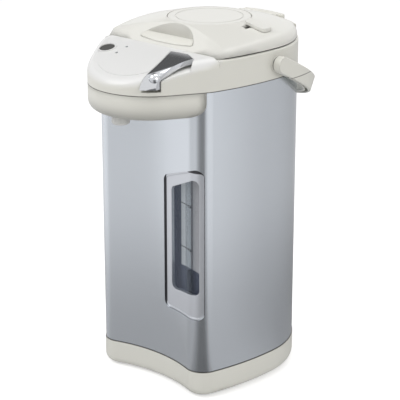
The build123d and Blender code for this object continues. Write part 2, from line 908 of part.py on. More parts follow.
def make_spout_cover():
    """The chin under the nose, which ends in a rounded heel beside the metal skin."""
    full = Pos(0, 0, chin_bottom) * extrude(head_plan(), shell_top - touch - chin_bottom)
    outer = fillet(full.edges().group_by(Axis.Z)[0], chin_round)
    floor = chin_bottom + plastic_wall
    inner = Pos(0, 0, floor) * extrude(head_plan(plastic_wall), shell_top - floor + over)
    inner = chamfer(inner.edges().group_by(Axis.Z)[0], (chin_round - plastic_wall) / 2)
    side = make_face(
        Polyline(
            (chin_back, shell_top), (chin_back, chin_bottom), (nose_front, chin_bottom),
            (nose_front, shell_top), close=True,
        )
    )
    heel = [v for v in side.vertices() if v.X > chin_back - over and v.Y < shell_top - over]
    prism = extrude(Plane.YZ * fillet(heel, chin_heel), beyond, both=True)
    cover = (outer & prism) - inner
    cover -= casing(skin_inset - fit_gap, chin_bottom - over, shell_top + over)
    return cover - rod(nozzle_radius + touch, chin_bottom - over, floor + over, 0, nozzle_y)


def make_spout_nozzle():
    low = chin_bottom + plastic_wall + touch
    body = rod(nozzle_radius - touch, nozzle_bottom, nozzle_top - port_length, 0, nozzle_y)
    body = chamfer(body.edges().group_by(Axis.Z)[0], nozzle_lip)
    body += rod(nozzle_flange, low, low + nozzle_flange_wall, 0, nozzle_y)
    body += rod(port_radius, nozzle_top - port_length - over, nozzle_top, 0, nozzle_y)
    body -= rod(nozzle_bore, nozzle_bottom - over, nozzle_top - port_length - nozzle_flange_wall,
                0, nozzle_y)
    return body - rod(port_bore, nozzle_bottom, nozzle_top + over, 0, nozzle_y)


def make_control_panel():
    """A thin skin on the panel, left of the lever."""
    layer = under_panel(-panel_skin) - under_panel(-touch)
    skin = layer & (Pos(0, 0, shell_top) * extrude(head_plan(nose_round), lid_top_z - shell_top))
    skin &= block(-beyond, panel_right, nose_front, nose_back - lid_gap, shell_top, lid_top_z)
    skin -= lever_column(pocket_gap + lid_gap)
    skin -= on_panel(button_x, button_y) * Cylinder(button_radius + ring_band + turn_gap, reach)
    for y in lens_ys:
        skin -= on_panel(lens_x, y) * Cylinder(lens_radius + turn_gap, reach / 2)
    return skin


def make_button_ring():
    ring = Cylinder(button_radius + ring_band, ring_wall)
    ring -= Cylinder(button_radius + fit_gap, reach)
    return on_panel(button_x, button_y, ring_wall / 2 + 4 * touch) * ring


def make_reheat_button():
    cap = Cylinder(button_radius, button_length)
    cap = chamfer(cap.edges().group_by(Axis.Z)[-1], button_rim)
    return on_panel(button_x, button_y, button_rise - button_length / 2) * cap


def make_indicator_lenses():
    lens = Cylinder(lens_radius, lens_length)
    return [on_panel(lens_x, y, lens_rise - lens_length / 2) * lens for y in lens_ys]


def make_control_board():
    """The board lies under the panel, on two posts."""
    board = Box(board_width, board_depth, board_wall)
    post = board_drop - plastic_wall - board_wall / 2 - fit_gap
    for x in board_posts:
        board += Pos(x, 0, (post + board_wall) / 2) * Cylinder(post_radius, post)
    return on_panel(board_x, button_y, -board_drop) * board


def make_button_switch():
    low = board_wall / 2 + touch
    high = board_drop + button_rise - button_length - button_travel - fit_gap
    width = button_switch_width
    switch = Pos(button_x - board_x, 0, (low + high) / 2) * Box(width, width, high - low)
    return on_panel(board_x, button_y, -board_drop) * switch


def make_dispense_lever():
    """A moulded, plated channel: smooth top, two skirts and a tip bent over the rim."""
    low = lever_tip_bottom - 2 * lever_round
    outer = nose_block(-lever_overhang, -lever_rise, low, lever_round)
    outer &= block(0, body_radius, nose_front, 0, lever_tip_bottom, lid_top_z)
    inner = nose_block(lever_wall - lever_overhang, lever_wall - lever_rise, low,
                       lever_round - lever_wall)
    lever = (outer & lever_column(0)) - (inner & lever_column(-lever_wall))
    depth = lever_skirt + lever_rise
    lever -= nose_block(depth - lever_overhang, lever_skirt, low, lever_round - depth)
    boss = cross_rod(lever_pin_radius + lever_boss_wall, lever_boss_left, lever_boss_right,
                     lever_pivot_y, pivot_pin_z())
    lever += boss & lever_column(-lever_wall / 2)
    lever -= stud_place() * Cylinder(stud_stem + touch, reach)
    lever -= stud_place() * Pos(0, 0, reach / 2) * Cylinder(stud_radius + touch, reach)
    return lever - cross_rod(lever_pin_radius + turn_gap, lever_pin_left, lever_pin_right,
                             lever_pivot_y, pivot_pin_z())


def stud_place():
    """A location on the bend of the lever's tip, with its Z along the surface's normal."""
    away = hypot(stud_x, stud_y - nose_y)
    depth = nose_radius + lever_overhang - away
    lean = acos(sqrt(lever_round * lever_round - (lever_round - depth) ** 2) / lever_round)
    z = panel_z(stud_y) + lever_rise - lever_round + lever_round * cos(lean)
    slope = radians(panel_slope(stud_y))
    normal = (
        sin(lean) * stud_x / away,
        sin(lean) * (stud_y - nose_y) / away - cos(lean) * sin(slope),
        cos(lean) * cos(slope),
    )
    return Location(Plane(origin=(stud_x, stud_y, z), z_dir=normal)) * Pos(0, 0, stud_lift)


def make_lever_stud():
    """A domed stud whose stem passes through the lever's wall."""
    ball = (stud_radius * stud_radius + stud_height * stud_height) / (2 * stud_height)
    dome = Pos(0, 0, stud_height - ball) * Sphere(ball)
    dome &= Pos(0, 0, ball) * Box(4 * ball, 4 * ball, 2 * ball)
    stem = Pos(0, 0, -stud_sink / 2) * Cylinder(stud_stem, stud_sink + touch)
    return stud_place() * (dome + stem)


def make_lever_pin():
    return cross_rod(lever_pin_radius, lever_pin_left + fit_gap, lever_pin_right - fit_gap,
                     lever_pivot_y, pivot_pin_z())


def trough_floor(y):
    """Depth of the trough's floor under the panel, along the panel's normal."""
    return pocket_depth * cos(radians(panel_slope(y))) - fit_gap


def make_lever_spring():
    """A coil spring between the floor of the trough and the lever."""
    low = -trough_floor(lever_spring_y)
    high = lever_rise - lever_wall - fit_gap
    spring = Cylinder(lever_spring_radius, high - low)
    spring -= Cylinder(lever_spring_radius - lever_spring_wire, reach)
    return on_panel(lever_spring_x, lever_spring_y, (low + high) / 2) * spring


def make_dispense_switch():
    low = -trough_floor(lever_switch_y)
    place = on_panel(lever_switch_x, lever_switch_y, low + switch_height / 2)
    return place * Box(switch_width, switch_depth, switch_height)


# ---- lid -----------------------------------------------------------------------------------
def lid_fall():
    """How much the lid's dome falls for each millimetre outwards."""
    return (lid_top_z - dome_edge_z) / (dome_edge_radius - dome_radius)


def lid_blank(inset, drop, rounding, bevel=0.0):
    """The lid's domed and sloping form before its front and its seam are cut."""
    low = seam_top - reach
    front = lid_front - lid_seam_wall
    plan = casing_plan(lid_inset + inset)
    plan &= Pos(0, (lid_back + front) / 2) * Rectangle(2 * beyond, lid_back - front - inset)
    column = Pos(0, 0, low) * extrude(plan, lid_top_z - low + over)
    crown = lid_top_z - drop
    dome = make_face(
        Polyline(
            (0, low - over), (beyond, low - over),
            (beyond, crown - lid_fall() * (beyond - dome_radius)), (dome_radius, crown),
            (0, crown), close=True,
        )
    )
    dome = column & (Pos(0, plate_y, 0) * revolve(Plane.XZ * dome, Axis.Z))
    steep = (lid_top_z - lid_front_top) / (brow_y - lid_front)
    far = lid_top_z - drop + steep * (beyond - brow_y)
    near = lid_top_z - drop - steep * (beyond + brow_y)
    slope = make_face(
        Polyline((-beyond, near), (beyond, far), (beyond, near - reach), (-beyond, near - reach),
                 close=True)
    )
    slope = column & extrude(Plane.YZ * slope, beyond, both=True)
    return soften_rim(dome, rounding, bevel) & soften_rim(slope, rounding, bevel)


def soften_rim(form, rounding, bevel):
    """Rounds or bevels the upper rim along the sides and round the back."""
    rim = [e for e in form.edges() if e.center().Z > shell_top and on_side_wall(e)]
    return chamfer(rim, bevel) if bevel else fillet(rim, rounding)


def on_side_wall(edge):
    """True for an edge that runs along the side wall of the lid, not upright."""
    start = edge @ 0
    end = edge @ 1
    upright = abs(start.X - end.X) < touch and abs(start.Y - end.Y) < touch
    middle = edge @ 0.5
    return abs(middle.X) > ledge_radius - recess_wall and not upright


def lid_outline(inset, low, high):
    """An upright block with the lid's straight front, rounded front corners and straight back."""
    front = lid_front + inset
    back = lid_back - inset
    plan = casing_plan(lid_inset + inset) & Pos(0, (front + back) / 2) * Rectangle(
        2 * body_radius, back - front
    )
    corners = plan.vertices().group_by(Axis.Y)[0]
    plan = fillet(corners, lid_corner - inset)
    return Pos(0, 0, low) * extrude(plan, high - low)


def recess_plan(grow=0.0):
    """Outline of the finger recess: two arcs that meet in rounded tips."""
    ends = recess_half + grow
    outline = make_face(
        [
            ThreePointArc((-ends, recess_ends_y), (0, recess_back + grow), (ends, recess_ends_y)),
            ThreePointArc((ends, recess_ends_y), (0, recess_front - grow), (-ends, recess_ends_y)),
        ]
    )
    return fillet(outline.vertices(), recess_round)


def recess_column(grow, low):
    return Pos(0, 0, low) * extrude(recess_plan(grow), lid_top_z + over - low)


def arc_slot(grow):
    """Slot in which the stem of the pump lock swings, about the plate's axis."""
    inner = lock_slot_inner - grow
    outer = lock_slot_outer + grow
    spare = degrees(grow / inner)
    start = lock_angle - lock_turn - lock_stem_angle / 2 - spare
    sweep_angle = lock_turn + lock_stem_angle + 2 * spare
    return ring_sector(inner, outer, start, sweep_angle)


def ring_sector(inner, outer, start, sweep_angle):
    """A piece of a flat ring between two radii and two angles."""
    end = start + sweep_angle
    return make_face(
        [
            CenterArc((0, 0), outer, start, sweep_angle),
            CenterArc((0, 0), inner, start, sweep_angle),
            Line(polar(inner, start), polar(outer, start)),
            Line(polar(inner, end), polar(outer, end)),
        ]
    )


def polar(radius, angle):
    return (radius * cos(radians(angle)), radius * sin(radians(angle)))


def over_lid(drop):
    """Everything above the lid's cone, for pieces that lie on it."""
    crown = lid_top_z - drop
    outline = make_face(
        Polyline(
            (0, crown), (dome_radius, crown), (beyond, crown - lid_fall() * (beyond - dome_radius)),
            (beyond, lid_top_z + reach), (0, lid_top_z + reach), close=True,
        )
    )
    return Pos(0, plate_y, 0) * revolve(Plane.XZ * outline, Axis.Z)


def make_lid_top():
    low = seam_top + lid_gap
    outer = lid_blank(0, 0, lid_round) & lid_outline(0, low, lid_top_z + over)
    inner = lid_blank(lid_wall, lid_wall, 0, lid_bevel)
    inner &= lid_outline(lid_wall, low - over, lid_top_z + over)
    well = plate_radius + plate_gap
    inner -= rod(well + plate_well_wall, low - reach, lid_top_z + over, 0, plate_y)
    inner -= recess_column(recess_wall, recess_floor - recess_wall)
    lid = outer - inner
    lid -= recess_column(0, recess_floor)
    lid -= rod(well, low - over, lid_top_z + over, 0, plate_y)
    lid -= Pos(0, plate_y, low) * extrude(arc_slot(fit_gap), reach)
    slot = latch_arm_half + over
    lid -= block(-slot, slot, latch_front - over, latch_pivot_y + latch_swing, low - over,
                 recess_floor + touch)
    lid -= cross_rod(latch_pin_radius + touch / 2, -latch_pin_half, latch_pin_half, latch_pivot_y,
                     latch_pivot_z)
    for side in (-1, 1):
        near = side * knuckle_half
        far = side * (knuckle_half + ear_wall + 2 * ear_gap)
        lid -= cross_rod(knuckle_radius + ear_gap, min(near, far), max(near, far), hinge_y,
                         hinge_z)
    lid += block(-knuckle_half, knuckle_half, lid_back - knuckle_root, hinge_y,
                 hinge_z - knuckle_radius, hinge_z)
    lid += cross_rod(knuckle_radius, -knuckle_half, knuckle_half, hinge_y, hinge_z)
    return lid - cross_rod(hinge_pin_radius + turn_gap, -beyond, beyond, hinge_y, hinge_z)


def make_lid_inner():
    """The moulding under the lid: a flange that closes the lid, and the cup of the air pump."""
    low = seam_top + lid_gap + turn_gap
    flange = lid_outline(flange_inset, low, low + flange_wall)
    body = flange + rod(cup_radius, cup_bottom, low + over)
    body += rod(cup_flange_radius, cup_bottom, cup_floor)
    body -= rod(cup_radius - cup_wall, cup_floor, lid_top_z)
    body -= recess_column(recess_wall + fit_gap, low - over)
    knuckle = knuckle_half + over
    body -= block(-knuckle, knuckle, lid_back - knuckle_root - over, hinge_y, low - over,
                  lid_top_z)
    slot = latch_arm_half + over
    return body - block(-slot, slot, lid_front, latch_pivot_y + latch_swing, low - over, lid_top_z)


def make_lid_liner():
    return rod(liner_radius, cup_bottom - liner_wall - touch, cup_bottom - touch)


def make_lid_seal():
    seal = tube(seal_radius, seal_inner_radius, ledge_top + fit_gap, cup_bottom - touch)
    return chamfer(seal.edges().group_by(Axis.Z)[0], seal_lip)


def make_lid_latch():
    """The latch lever: a convex paddle with an arm and a hook below."""
    side = make_face(
        [
            Line((latch_front, latch_low), (latch_front, latch_low + latch_edge)),
            ThreePointArc(
                (latch_front, latch_low + latch_edge),
                ((latch_front + latch_back) / 2, latch_crown),
                (latch_back, latch_high),
            ),
            Line((latch_back, latch_high), (latch_back, latch_lip)),
            Line((latch_back, latch_lip), (latch_pivot_y + latch_heel, latch_low)),
            Line((latch_pivot_y + latch_heel, latch_low), (latch_front, latch_low)),
        ]
    )
    paddle = extrude(Plane.YZ * side, recess_half, both=True)
    inside = offset(recess_plan(), -latch_gap)
    paddle &= Pos(0, 0, recess_floor) * extrude(inside, lid_top_z - recess_floor)
    arm_back = latch_front + latch_arm_wall
    arm = block(-latch_arm_half, latch_arm_half, latch_front, arm_back, latch_arm_bottom,
                latch_low + over)
    hook = block(-latch_arm_half, latch_arm_half, latch_front - latch_hook, arm_back,
                 latch_arm_bottom, latch_arm_bottom + latch_hook_wall)
    latch = paddle + arm + hook
    return latch - cross_rod(latch_pin_radius + turn_gap, -beyond, beyond, latch_pivot_y,
                             latch_pivot_z)


def make_latch_pin():
    half = latch_pin_half - turn_gap
    return cross_rod(latch_pin_radius, -half, half, latch_pivot_y, latch_pivot_z)


def make_pump_plate():
    plate = rod(plate_radius, plate_bottom - plate_skirt + plate_wall, lid_top_z, 0, plate_y)
    plate = chamfer(plate.edges().group_by(Axis.Z)[-1], plate_rim)
    plate -= rod(plate_radius - plate_wall, 0, plate_bottom, 0, plate_y)
    return plate - tube(plate_groove + plate_groove_width / 2, plate_groove - plate_groove_width / 2,
                        lid_top_z - plate_groove_depth, lid_top_z + over, 0, plate_y)


def folded_tube(radius, fold, folds, wall, z0, z1):
    """A bellows: a wall that zigzags between two radii."""
    step = (z1 - z0) / (2 * folds)
    outer = [(radius - fold * (i % 2), z0 + step * i) for i in range(2 * folds + 1)]
    inner = [(x - wall, z) for x, z in reversed(outer)]
    face = make_face(Polyline(*outer, *inner, close=True))
    return Pos(0, plate_y, 0) * revolve(Plane.XZ * face, Axis.Z)


def make_pump_bellows():
    return folded_tube(bellows_radius, bellows_fold, bellows_folds, bellows_wall,
                       cup_floor + touch, plate_bottom - touch)


def make_pump_spring():
    return tube(pump_spring_radius, pump_spring_radius - pump_spring_wire, cup_floor + touch,
                plate_bottom - touch, 0, plate_y)


def make_pump_lock():
    """A tab on the lid, with a stem through the slot and a foot below it."""
    length = lock_outer - lock_inner
    plan = Pos((lock_outer + lock_inner) / 2, 0) * RectangleRounded(length, lock_width, lock_round)
    tab = Pos(0, plate_y, seam_top) * Rot(0, 0, lock_angle) * extrude(plan, reach)
    tab = tab & over_lid(-lock_sink) - over_lid(-lock_rise)
    start = lock_angle - lock_stem_angle / 2
    stem = ring_sector(lock_slot_inner, lock_slot_outer, start, lock_stem_angle)
    foot = ring_sector(lock_slot_inner - lock_foot, lock_slot_outer + lock_foot, start,
                       lock_stem_angle)
    low = lid_top_z - lid_wall - lock_foot_drop
    stem = Pos(0, plate_y, low) * extrude(stem, lid_top_z - low)
    stem -= over_lid(-lock_rise / 2)
    foot = Pos(0, plate_y, low) * extrude(foot, lock_foot)
    return tab + stem + foot


def make_lid_hinge_pin():
    half = knuckle_half + ear_gap + ear_wall
    return cross_rod(hinge_pin_radius, -half, half, hinge_y, hinge_z)


def make_hinge_cover():
    """The cap behind the lid hinge."""
    outer = block(-cover_half, cover_half, cover_front, beyond, deck_top + touch, cover_top)
    outer = fillet(outer.edges().group_by(Axis.Z)[-1], cover_round)
    return outer & (Pos(0, 0, seam_top) * extrude(head_plan(), reach))


# ---- handle --------------------------------------------------------------------------------
def bail_plan(outer, inner, back):
    """A U: two straight arms and a half circle, between two half widths."""
    arms = Rectangle(2 * outer, handle_straight + back, align=(Align.CENTER, Align.MIN))
    whole = Pos(0, -back) * arms + Pos(0, handle_straight) * Circle(outer)
    hole = Pos(0, -back - over) * Rectangle(
        2 * inner, handle_straight + back + over, align=(Align.CENTER, Align.MIN)
    )
    return whole - hole - Pos(0, handle_straight) * Circle(inner)


def make_handle():
    """A bail moulded as a channel that is open below, solid round its pivots."""
    half = handle_width / 2
    inner = handle_outer - handle_wall
    bail = Pos(0, 0, -half) * extrude(bail_plan(handle_outer, inner, half), handle_width)
    bail = chamfer(bail.edges().filter_by(GeomType.CIRCLE), handle_rim)
    ends = block(-handle_outer, handle_outer, 0, 2 * handle_outer, -half, half)
    ends += cross_rod(half, -handle_outer, handle_outer, 0, 0)
    bail &= ends
    wall = handle_channel
    trough = extrude(bail_plan(handle_outer - wall, inner + wall, half), handle_width)
    trough = Pos(0, 0, -half - wall) * trough
    trough &= block(-handle_outer, handle_outer, handle_block, 2 * handle_outer, -2 * half, half)
    bail -= trough
    bail -= cross_rod(pivot_radius + turn_gap, -handle_outer + wall, handle_outer - wall, 0, 0)
    return Pos(0, handle_y, handle_z) * Rot(-handle_tilt, 0, 0) * bail


def make_handle_pivots():
    """A pin on each side, from the shoulder into the arm of the handle."""
    low = body_radius - pivot_root
    high = handle_outer - handle_channel - fit_gap
    pin = cross_rod(pivot_radius, low, high, handle_y, handle_z)
    return [pin, cross_rod(pivot_radius, -high, -low, handle_y, handle_z)]


# ---- power inlet ---------------------------------------------------------------------------
def make_power_inlet():
    body = inlet_block() & casing(skin_inset, 0, shell_top)
    behind = skin_inset + skin_wall + touch
    body += inlet_block(inlet_flange) & casing_band(behind, behind + inlet_flange_wall, 0, shell_top)
    wall = inlet_wall
    body -= block(
        -inlet_width / 2 + wall, inlet_width / 2 - wall, inlet_floor_y, beyond,
        inlet_z - inlet_height / 2 + wall, inlet_z + inlet_height / 2 - wall,
    )
    for x in (-inlet_pin_pitch, inlet_pin_pitch):
        body -= Pos(x, inlet_floor_y, inlet_z) * Rot(90, 0, 0) * Cylinder(
            inlet_pin_radius, 2 * inlet_pin_root
        )
    return body


def make_inlet_pins():
    pin = Rot(-90, 0, 0) * Cylinder(inlet_pin_radius, inlet_pin_length + inlet_pin_root)
    y = inlet_floor_y + (inlet_pin_length - inlet_pin_root) / 2
    return [Pos(side * inlet_pin_pitch, y, inlet_z) * pin for side in (-1, 1)]


for name, maker in (
    ("base_shell", make_base_shell),
    ("bottom_cover", make_bottom_cover),
    ("base_screws", make_base_screws),
    ("anti_slip_ring", make_anti_slip_ring),
    ("outer_shell", make_outer_shell),
    ("window_bezel", make_window_bezel),
    ("window_lens", make_window_lens),
    ("gauge_tube", make_gauge_tube),
    ("gauge_backing", make_gauge_backing),
    ("inner_tank", make_inner_tank),
    ("tank_seal", make_tank_seal),
    ("heater", make_heater),
    ("thermostats", make_thermostats),
    ("thermal_fuse", make_thermal_fuse),
    ("pump_motor", make_pump_motor),
    ("pump_housing", make_pump_housing),
    ("pump_rotor", make_pump_rotor),
    ("feed_hose", make_feed_hose),
    ("riser_hose", make_riser_hose),
    ("spout_hose", make_spout_hose),
    ("shoulder", make_shoulder),
    ("lid_well", make_lid_well),
    ("seal_ledge", make_seal_ledge),
    ("spout_cover", make_spout_cover),
    ("spout_nozzle", make_spout_nozzle),
    ("control_panel", make_control_panel),
    ("button_ring", make_button_ring),
    ("reheat_button", make_reheat_button),
    ("indicator_lenses", make_indicator_lenses),
    ("control_board", make_control_board),
    ("button_switch", make_button_switch),
    ("dispense_lever", make_dispense_lever),
    ("lever_stud", make_lever_stud),
    ("lever_pin", make_lever_pin),
    ("lever_spring", make_lever_spring),
    ("dispense_switch", make_dispense_switch),
    ("lid_top", make_lid_top),
    ("lid_inner", make_lid_inner),
    ("lid_liner", make_lid_liner),
    ("lid_seal", make_lid_seal),
    ("lid_latch", make_lid_latch),
    ("latch_pin", make_latch_pin),
    ("pump_plate", make_pump_plate),
    ("pump_bellows", make_pump_bellows),
    ("pump_spring", make_pump_spring),
    ("pump_lock", make_pump_lock),
    ("lid_hinge_pin", make_lid_hinge_pin),
    ("hinge_cover", make_hinge_cover),
    ("handle", make_handle),
    ("handle_pivots", make_handle_pivots),
    ("power_inlet", make_power_inlet),
    ("inlet_pins", make_inlet_pins),
):
    nodes[name] = maker()

os.makedirs("parts", exist_ok=True)
for name, shape in nodes.items():
    solid = Compound(children=shape) if isinstance(shape, list) else shape
    export_step(solid, f"parts/{name}.step")
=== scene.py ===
# %% [markdown]
# # Electric thermo pot
# A hot water pot with a metal-skinned body, a moulded head with a plated lever, a
# domed lid with an air pump, and a carrying handle. The hard parts come from the CAD
# model, which is loaded as a fixed frame. This file gives every part its finish,
# adds the small pieces that CAD left plain, and sets up the studio. Lengths are in
# metres, +Z is up and -Y is out of the front.

import json
import math

import bpy
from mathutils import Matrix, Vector

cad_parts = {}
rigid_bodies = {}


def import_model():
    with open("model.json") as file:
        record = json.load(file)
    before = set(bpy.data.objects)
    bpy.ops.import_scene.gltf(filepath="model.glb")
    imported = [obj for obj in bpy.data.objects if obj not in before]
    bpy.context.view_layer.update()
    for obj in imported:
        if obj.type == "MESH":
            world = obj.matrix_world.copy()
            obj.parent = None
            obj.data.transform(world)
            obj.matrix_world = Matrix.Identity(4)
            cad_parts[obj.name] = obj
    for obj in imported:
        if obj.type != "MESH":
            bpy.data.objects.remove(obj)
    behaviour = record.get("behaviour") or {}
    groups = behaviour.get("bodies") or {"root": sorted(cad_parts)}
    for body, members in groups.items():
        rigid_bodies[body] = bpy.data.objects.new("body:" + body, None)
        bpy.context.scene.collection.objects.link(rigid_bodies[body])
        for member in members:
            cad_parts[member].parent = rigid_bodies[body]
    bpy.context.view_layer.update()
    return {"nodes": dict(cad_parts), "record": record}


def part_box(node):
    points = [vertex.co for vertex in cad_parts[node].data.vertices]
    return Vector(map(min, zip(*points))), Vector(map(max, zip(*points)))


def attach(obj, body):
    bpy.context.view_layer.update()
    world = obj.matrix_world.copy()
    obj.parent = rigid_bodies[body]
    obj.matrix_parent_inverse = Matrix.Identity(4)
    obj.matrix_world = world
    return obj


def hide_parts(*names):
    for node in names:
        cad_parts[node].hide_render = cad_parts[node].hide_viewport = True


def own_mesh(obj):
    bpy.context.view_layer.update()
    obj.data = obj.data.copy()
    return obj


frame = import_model()
nodes = frame["nodes"]

# %% [markdown]
# ## Camera
# A long lens from the pot's front right, a little above it, keeps the upright lines
# almost parallel. The camera comes first, because the rest is judged through it.
# A direction is turned into a rotation with to_track_quat: the camera looks along
# its own -Z, with +Y up.

# %% Camera
camera_place = Vector((1.0682, -1.2025, 0.7426))
camera_yaw = math.radians(-42.068)
camera_pitch = math.radians(19.182)
look = Vector((
    math.sin(camera_yaw) * math.cos(camera_pitch),
    math.cos(camera_yaw) * math.cos(camera_pitch),
    -math.sin(camera_pitch),
))
camera = bpy.data.objects.new("camera", bpy.data.cameras.new("camera"))
camera.location = camera_place
camera.rotation_euler = look.to_track_quat("-Z", "Y").to_euler()
camera.data.sensor_width = 36.0
camera.data.lens = 138.75
bpy.context.collection.objects.link(camera)
bpy.context.scene.camera = camera
bpy.context.scene.view_settings.view_transform = "Standard"
print("camera looks along", [round(v, 3) for v in look])

# %% [markdown]
# ## Node graphs as Python
# Shaders and Geometry Nodes are both graphs of nodes. One method adds any node: it
# takes the node's type, its settings and what goes into its sockets. An output comes
# back as a Link, and arithmetic on a Link adds the Math nodes for it, so a formula
# reads like a formula. Numbers alone are worked out in Python and add no node.

# %% Graph and Link
class Link:
    """One output of a node. Arithmetic on it adds Math nodes."""

    def __init__(self, graph, socket):
        self.graph = graph
        self.socket = socket

    def calc(self, operation, *others):
        """A Math node that takes this output first."""
        return self.graph.calc(operation, self, *others)

    def __add__(self, other):
        return self.calc("ADD", other)

    def __radd__(self, other):
        return self.graph.calc("ADD", other, self)

    def __sub__(self, other):
        return self.calc("SUBTRACT", other)

    def __rsub__(self, other):
        return self.graph.calc("SUBTRACT", other, self)

    def __mul__(self, other):
        return self.calc("MULTIPLY", other)

    def __rmul__(self, other):
        return self.graph.calc("MULTIPLY", other, self)

    def __truediv__(self, other):
        return self.calc("DIVIDE", other)

    def rise(self, low, high):
        """0 below low, 1 above high, and a smooth step between."""
        return self.graph.add(
            "ShaderNodeMapRange", {"interpolation_type": "SMOOTHSTEP"},
            {"Value": self, "From Min": low, "From Max": high},
        )


class Graph:
    """A node tree with one method that adds any node."""

    def __init__(self, tree):
        self.tree = tree
        tree.nodes.clear()

    def add(self, kind, settings=None, sockets=None, out=0):
        node = self.tree.nodes.new(kind)
        settings = dict(settings or {})
        stops = settings.pop("stops", None)
        for key, value in settings.items():
            setattr(node, key, value)
        if stops:
            ramp = node.color_ramp.elements
            while len(ramp) > 1:
                ramp.remove(ramp[-1])
            ramp[0].position, ramp[0].color = stops[0]
            for position, colour in stops[1:]:
                ramp.new(position).color = colour
        for key, value in (sockets or {}).items():
            self.feed(node.inputs[key], value)
        return Link(self, node.outputs[out]) if node.outputs else node

    def calc(self, operation, *values):
        return self.add("ShaderNodeMath", {"operation": operation}, dict(enumerate(values)))

    def feed(self, socket, value):
        if isinstance(value, Link):
            self.tree.links.new(value.socket, socket)
        else:
            socket.default_value = value


def distance(across, along):
    """The straight distance for two distances at right angles."""
    return (across * across + along * along).calc("SQRT")


# %% [markdown]
# ## Finishes
# Moulded plastic is never one flat colour: the tool leaves a fine grain, the surface
# is a touch glossier in some places, and the colour drifts slightly over a large
# part. Noise at three sizes gives that. A colour is written as the eye sees it, from
# 0 to 255, and turned into the linear light values that the shader works with.

# %% Finish
def paint(red, green, blue):
    """A colour from 0 to 255 as linear values."""
    def linear(value):
        value /= 255.0
        return value / 12.92 if value <= 0.04045 else ((value + 0.055) / 1.055) ** 2.4
    return (linear(red), linear(green), linear(blue), 1.0)


def tone(colour, factor):
    """The same colour, darker or lighter by a factor."""
    return tuple(channel * factor for channel in colour[:3]) + (1.0,)


class Finish(Graph):
    """One material, with the noises and the bump that the finishes share."""

    def __init__(self, name):
        self.material = bpy.data.materials.new(name)
        self.material.use_nodes = True
        super().__init__(self.material.node_tree)
        self.place = self.add("ShaderNodeTexCoord", out="Object")

    def axis(self, name):
        return self.add("ShaderNodeSeparateXYZ", None, {"Vector": self.place}, name)

    def noise(self, size, detail=2.0, stretch=(1.0, 1.0, 1.0)):
        """Noise with features of about this size."""
        vector = self.add("ShaderNodeMapping", None, {"Vector": self.place, "Scale": stretch})
        return self.add("ShaderNodeTexNoise", None,
                        {"Vector": vector, "Scale": 1.0 / size, "Detail": detail}, "Fac")

    def mix(self, amount, first, second):
        return self.add("ShaderNodeMix", {"data_type": "RGBA"}, {0: amount, 6: first, 7: second}, 2)

    def near(self, value, place, half, soft=0.0003):
        """1 where value is within half of place, and 0 elsewhere."""
        return 1.0 - (value - place).calc("ABSOLUTE").rise(half, half + soft)

    def bump(self, height, depth, edge=0.0):
        """Bump, on top of edges that are rounded by this radius."""
        sockets = {"Height": height, "Distance": depth}
        if edge:
            sockets["Normal"] = self.add("ShaderNodeBevel", {"samples": 6}, {"Radius": edge})
        return self.add("ShaderNodeBump", None, sockets, "Normal")

    def body(self, sockets):
        return self.add("ShaderNodeBsdfPrincipled", None, sockets)

    def close(self, surface):
        self.add("ShaderNodeOutputMaterial", None, {"Surface": surface})
        return self.material


def moulded(name, colour, rough, grain=0.0006, depth=0.00001, drift=0.03, edge=0.0, paints=None,
            **plain):
    """Moulded plastic: a fine grain, a slow drift of colour and uneven gloss."""
    f = Finish(name)
    slow = f.noise(0.06, 3.0)
    fine = f.noise(grain, 2.0)
    haze = f.noise(0.012, 4.0)
    shade = f.mix(slow, tone(colour, 1 - drift), tone(colour, 1 + drift))
    sockets = {
        "Base Color": paints(f, shade) if paints else shade,
        "Roughness": (rough - 0.02) + haze * 0.02 + fine * 0.02,
        "Normal": f.bump(fine, depth, edge(f) if callable(edge) else edge),
    }
    sockets.update({key.replace("_", " "): value for key, value in plain.items()})
    return f.close(f.body(sockets))


def metal(name, colour, rough, stretch, size=0.0012, depth=0.000006, spread=0.1, metallic=1.0):
    """Metal with fine brushing along one direction."""
    f = Finish(name)
    lines = f.noise(size, 3.0, stretch)
    cloud = f.noise(0.05, 3.0)
    shade = f.mix(lines * 0.6 + cloud * 0.4, tone(colour, 1 - spread), tone(colour, 1 + spread))
    return f.close(f.body({
        "Base Color": shade, "Metallic": metallic,
        "Roughness": (rough - 0.05) + lines * 0.1, "Normal": f.bump(lines, depth),
    }))


finishes = {}
print("helpers ready")

# %% [markdown]
# ## Plastics
# The casing is a warm off-white, satin, and the lid is the same plastic with a
# little more gloss. The skin on the sloping panel is a cooler white, and the top of
# the nose is painted whiter too, as painted light. A dark line of painted shade
# marks each joint, because little light gets into it. The silicone parts are matte,
# with a faint sheen at a flat angle.

# %% Colours and places on the casing
shell_low, shell_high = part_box("outer_shell")
panel_low, panel_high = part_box("control_panel")
panel_rise = (panel_high[2] - panel_low[2]) / (panel_high[1] - panel_low[1])
cream = paint(220, 219, 211)
lid_white = paint(222, 221, 215)
panel_white = paint(224, 224, 223)
crisp_edge = 0.0012
shade_line_half = 0.0003                   # half the width of a painted shade line at a joint
shade_line_strength = 0.8
top_light_fade = (-0.009, -0.0015)       # the painted light on the nose's top runs out this far under the panel's plane
top_light_back_fade = (-0.085, -0.07)          # and between these places towards the back
pivot_y, pivot_z = -0.004, 0.354     # the handle turns about this line
pivot_root = 0.0948                  # its boss leaves the casing this far from the middle
pivot_shade_half = 0.0007
pivot_shade_end = (0.0104, 0.011)     # the painted shade line round the boss ends at this radius
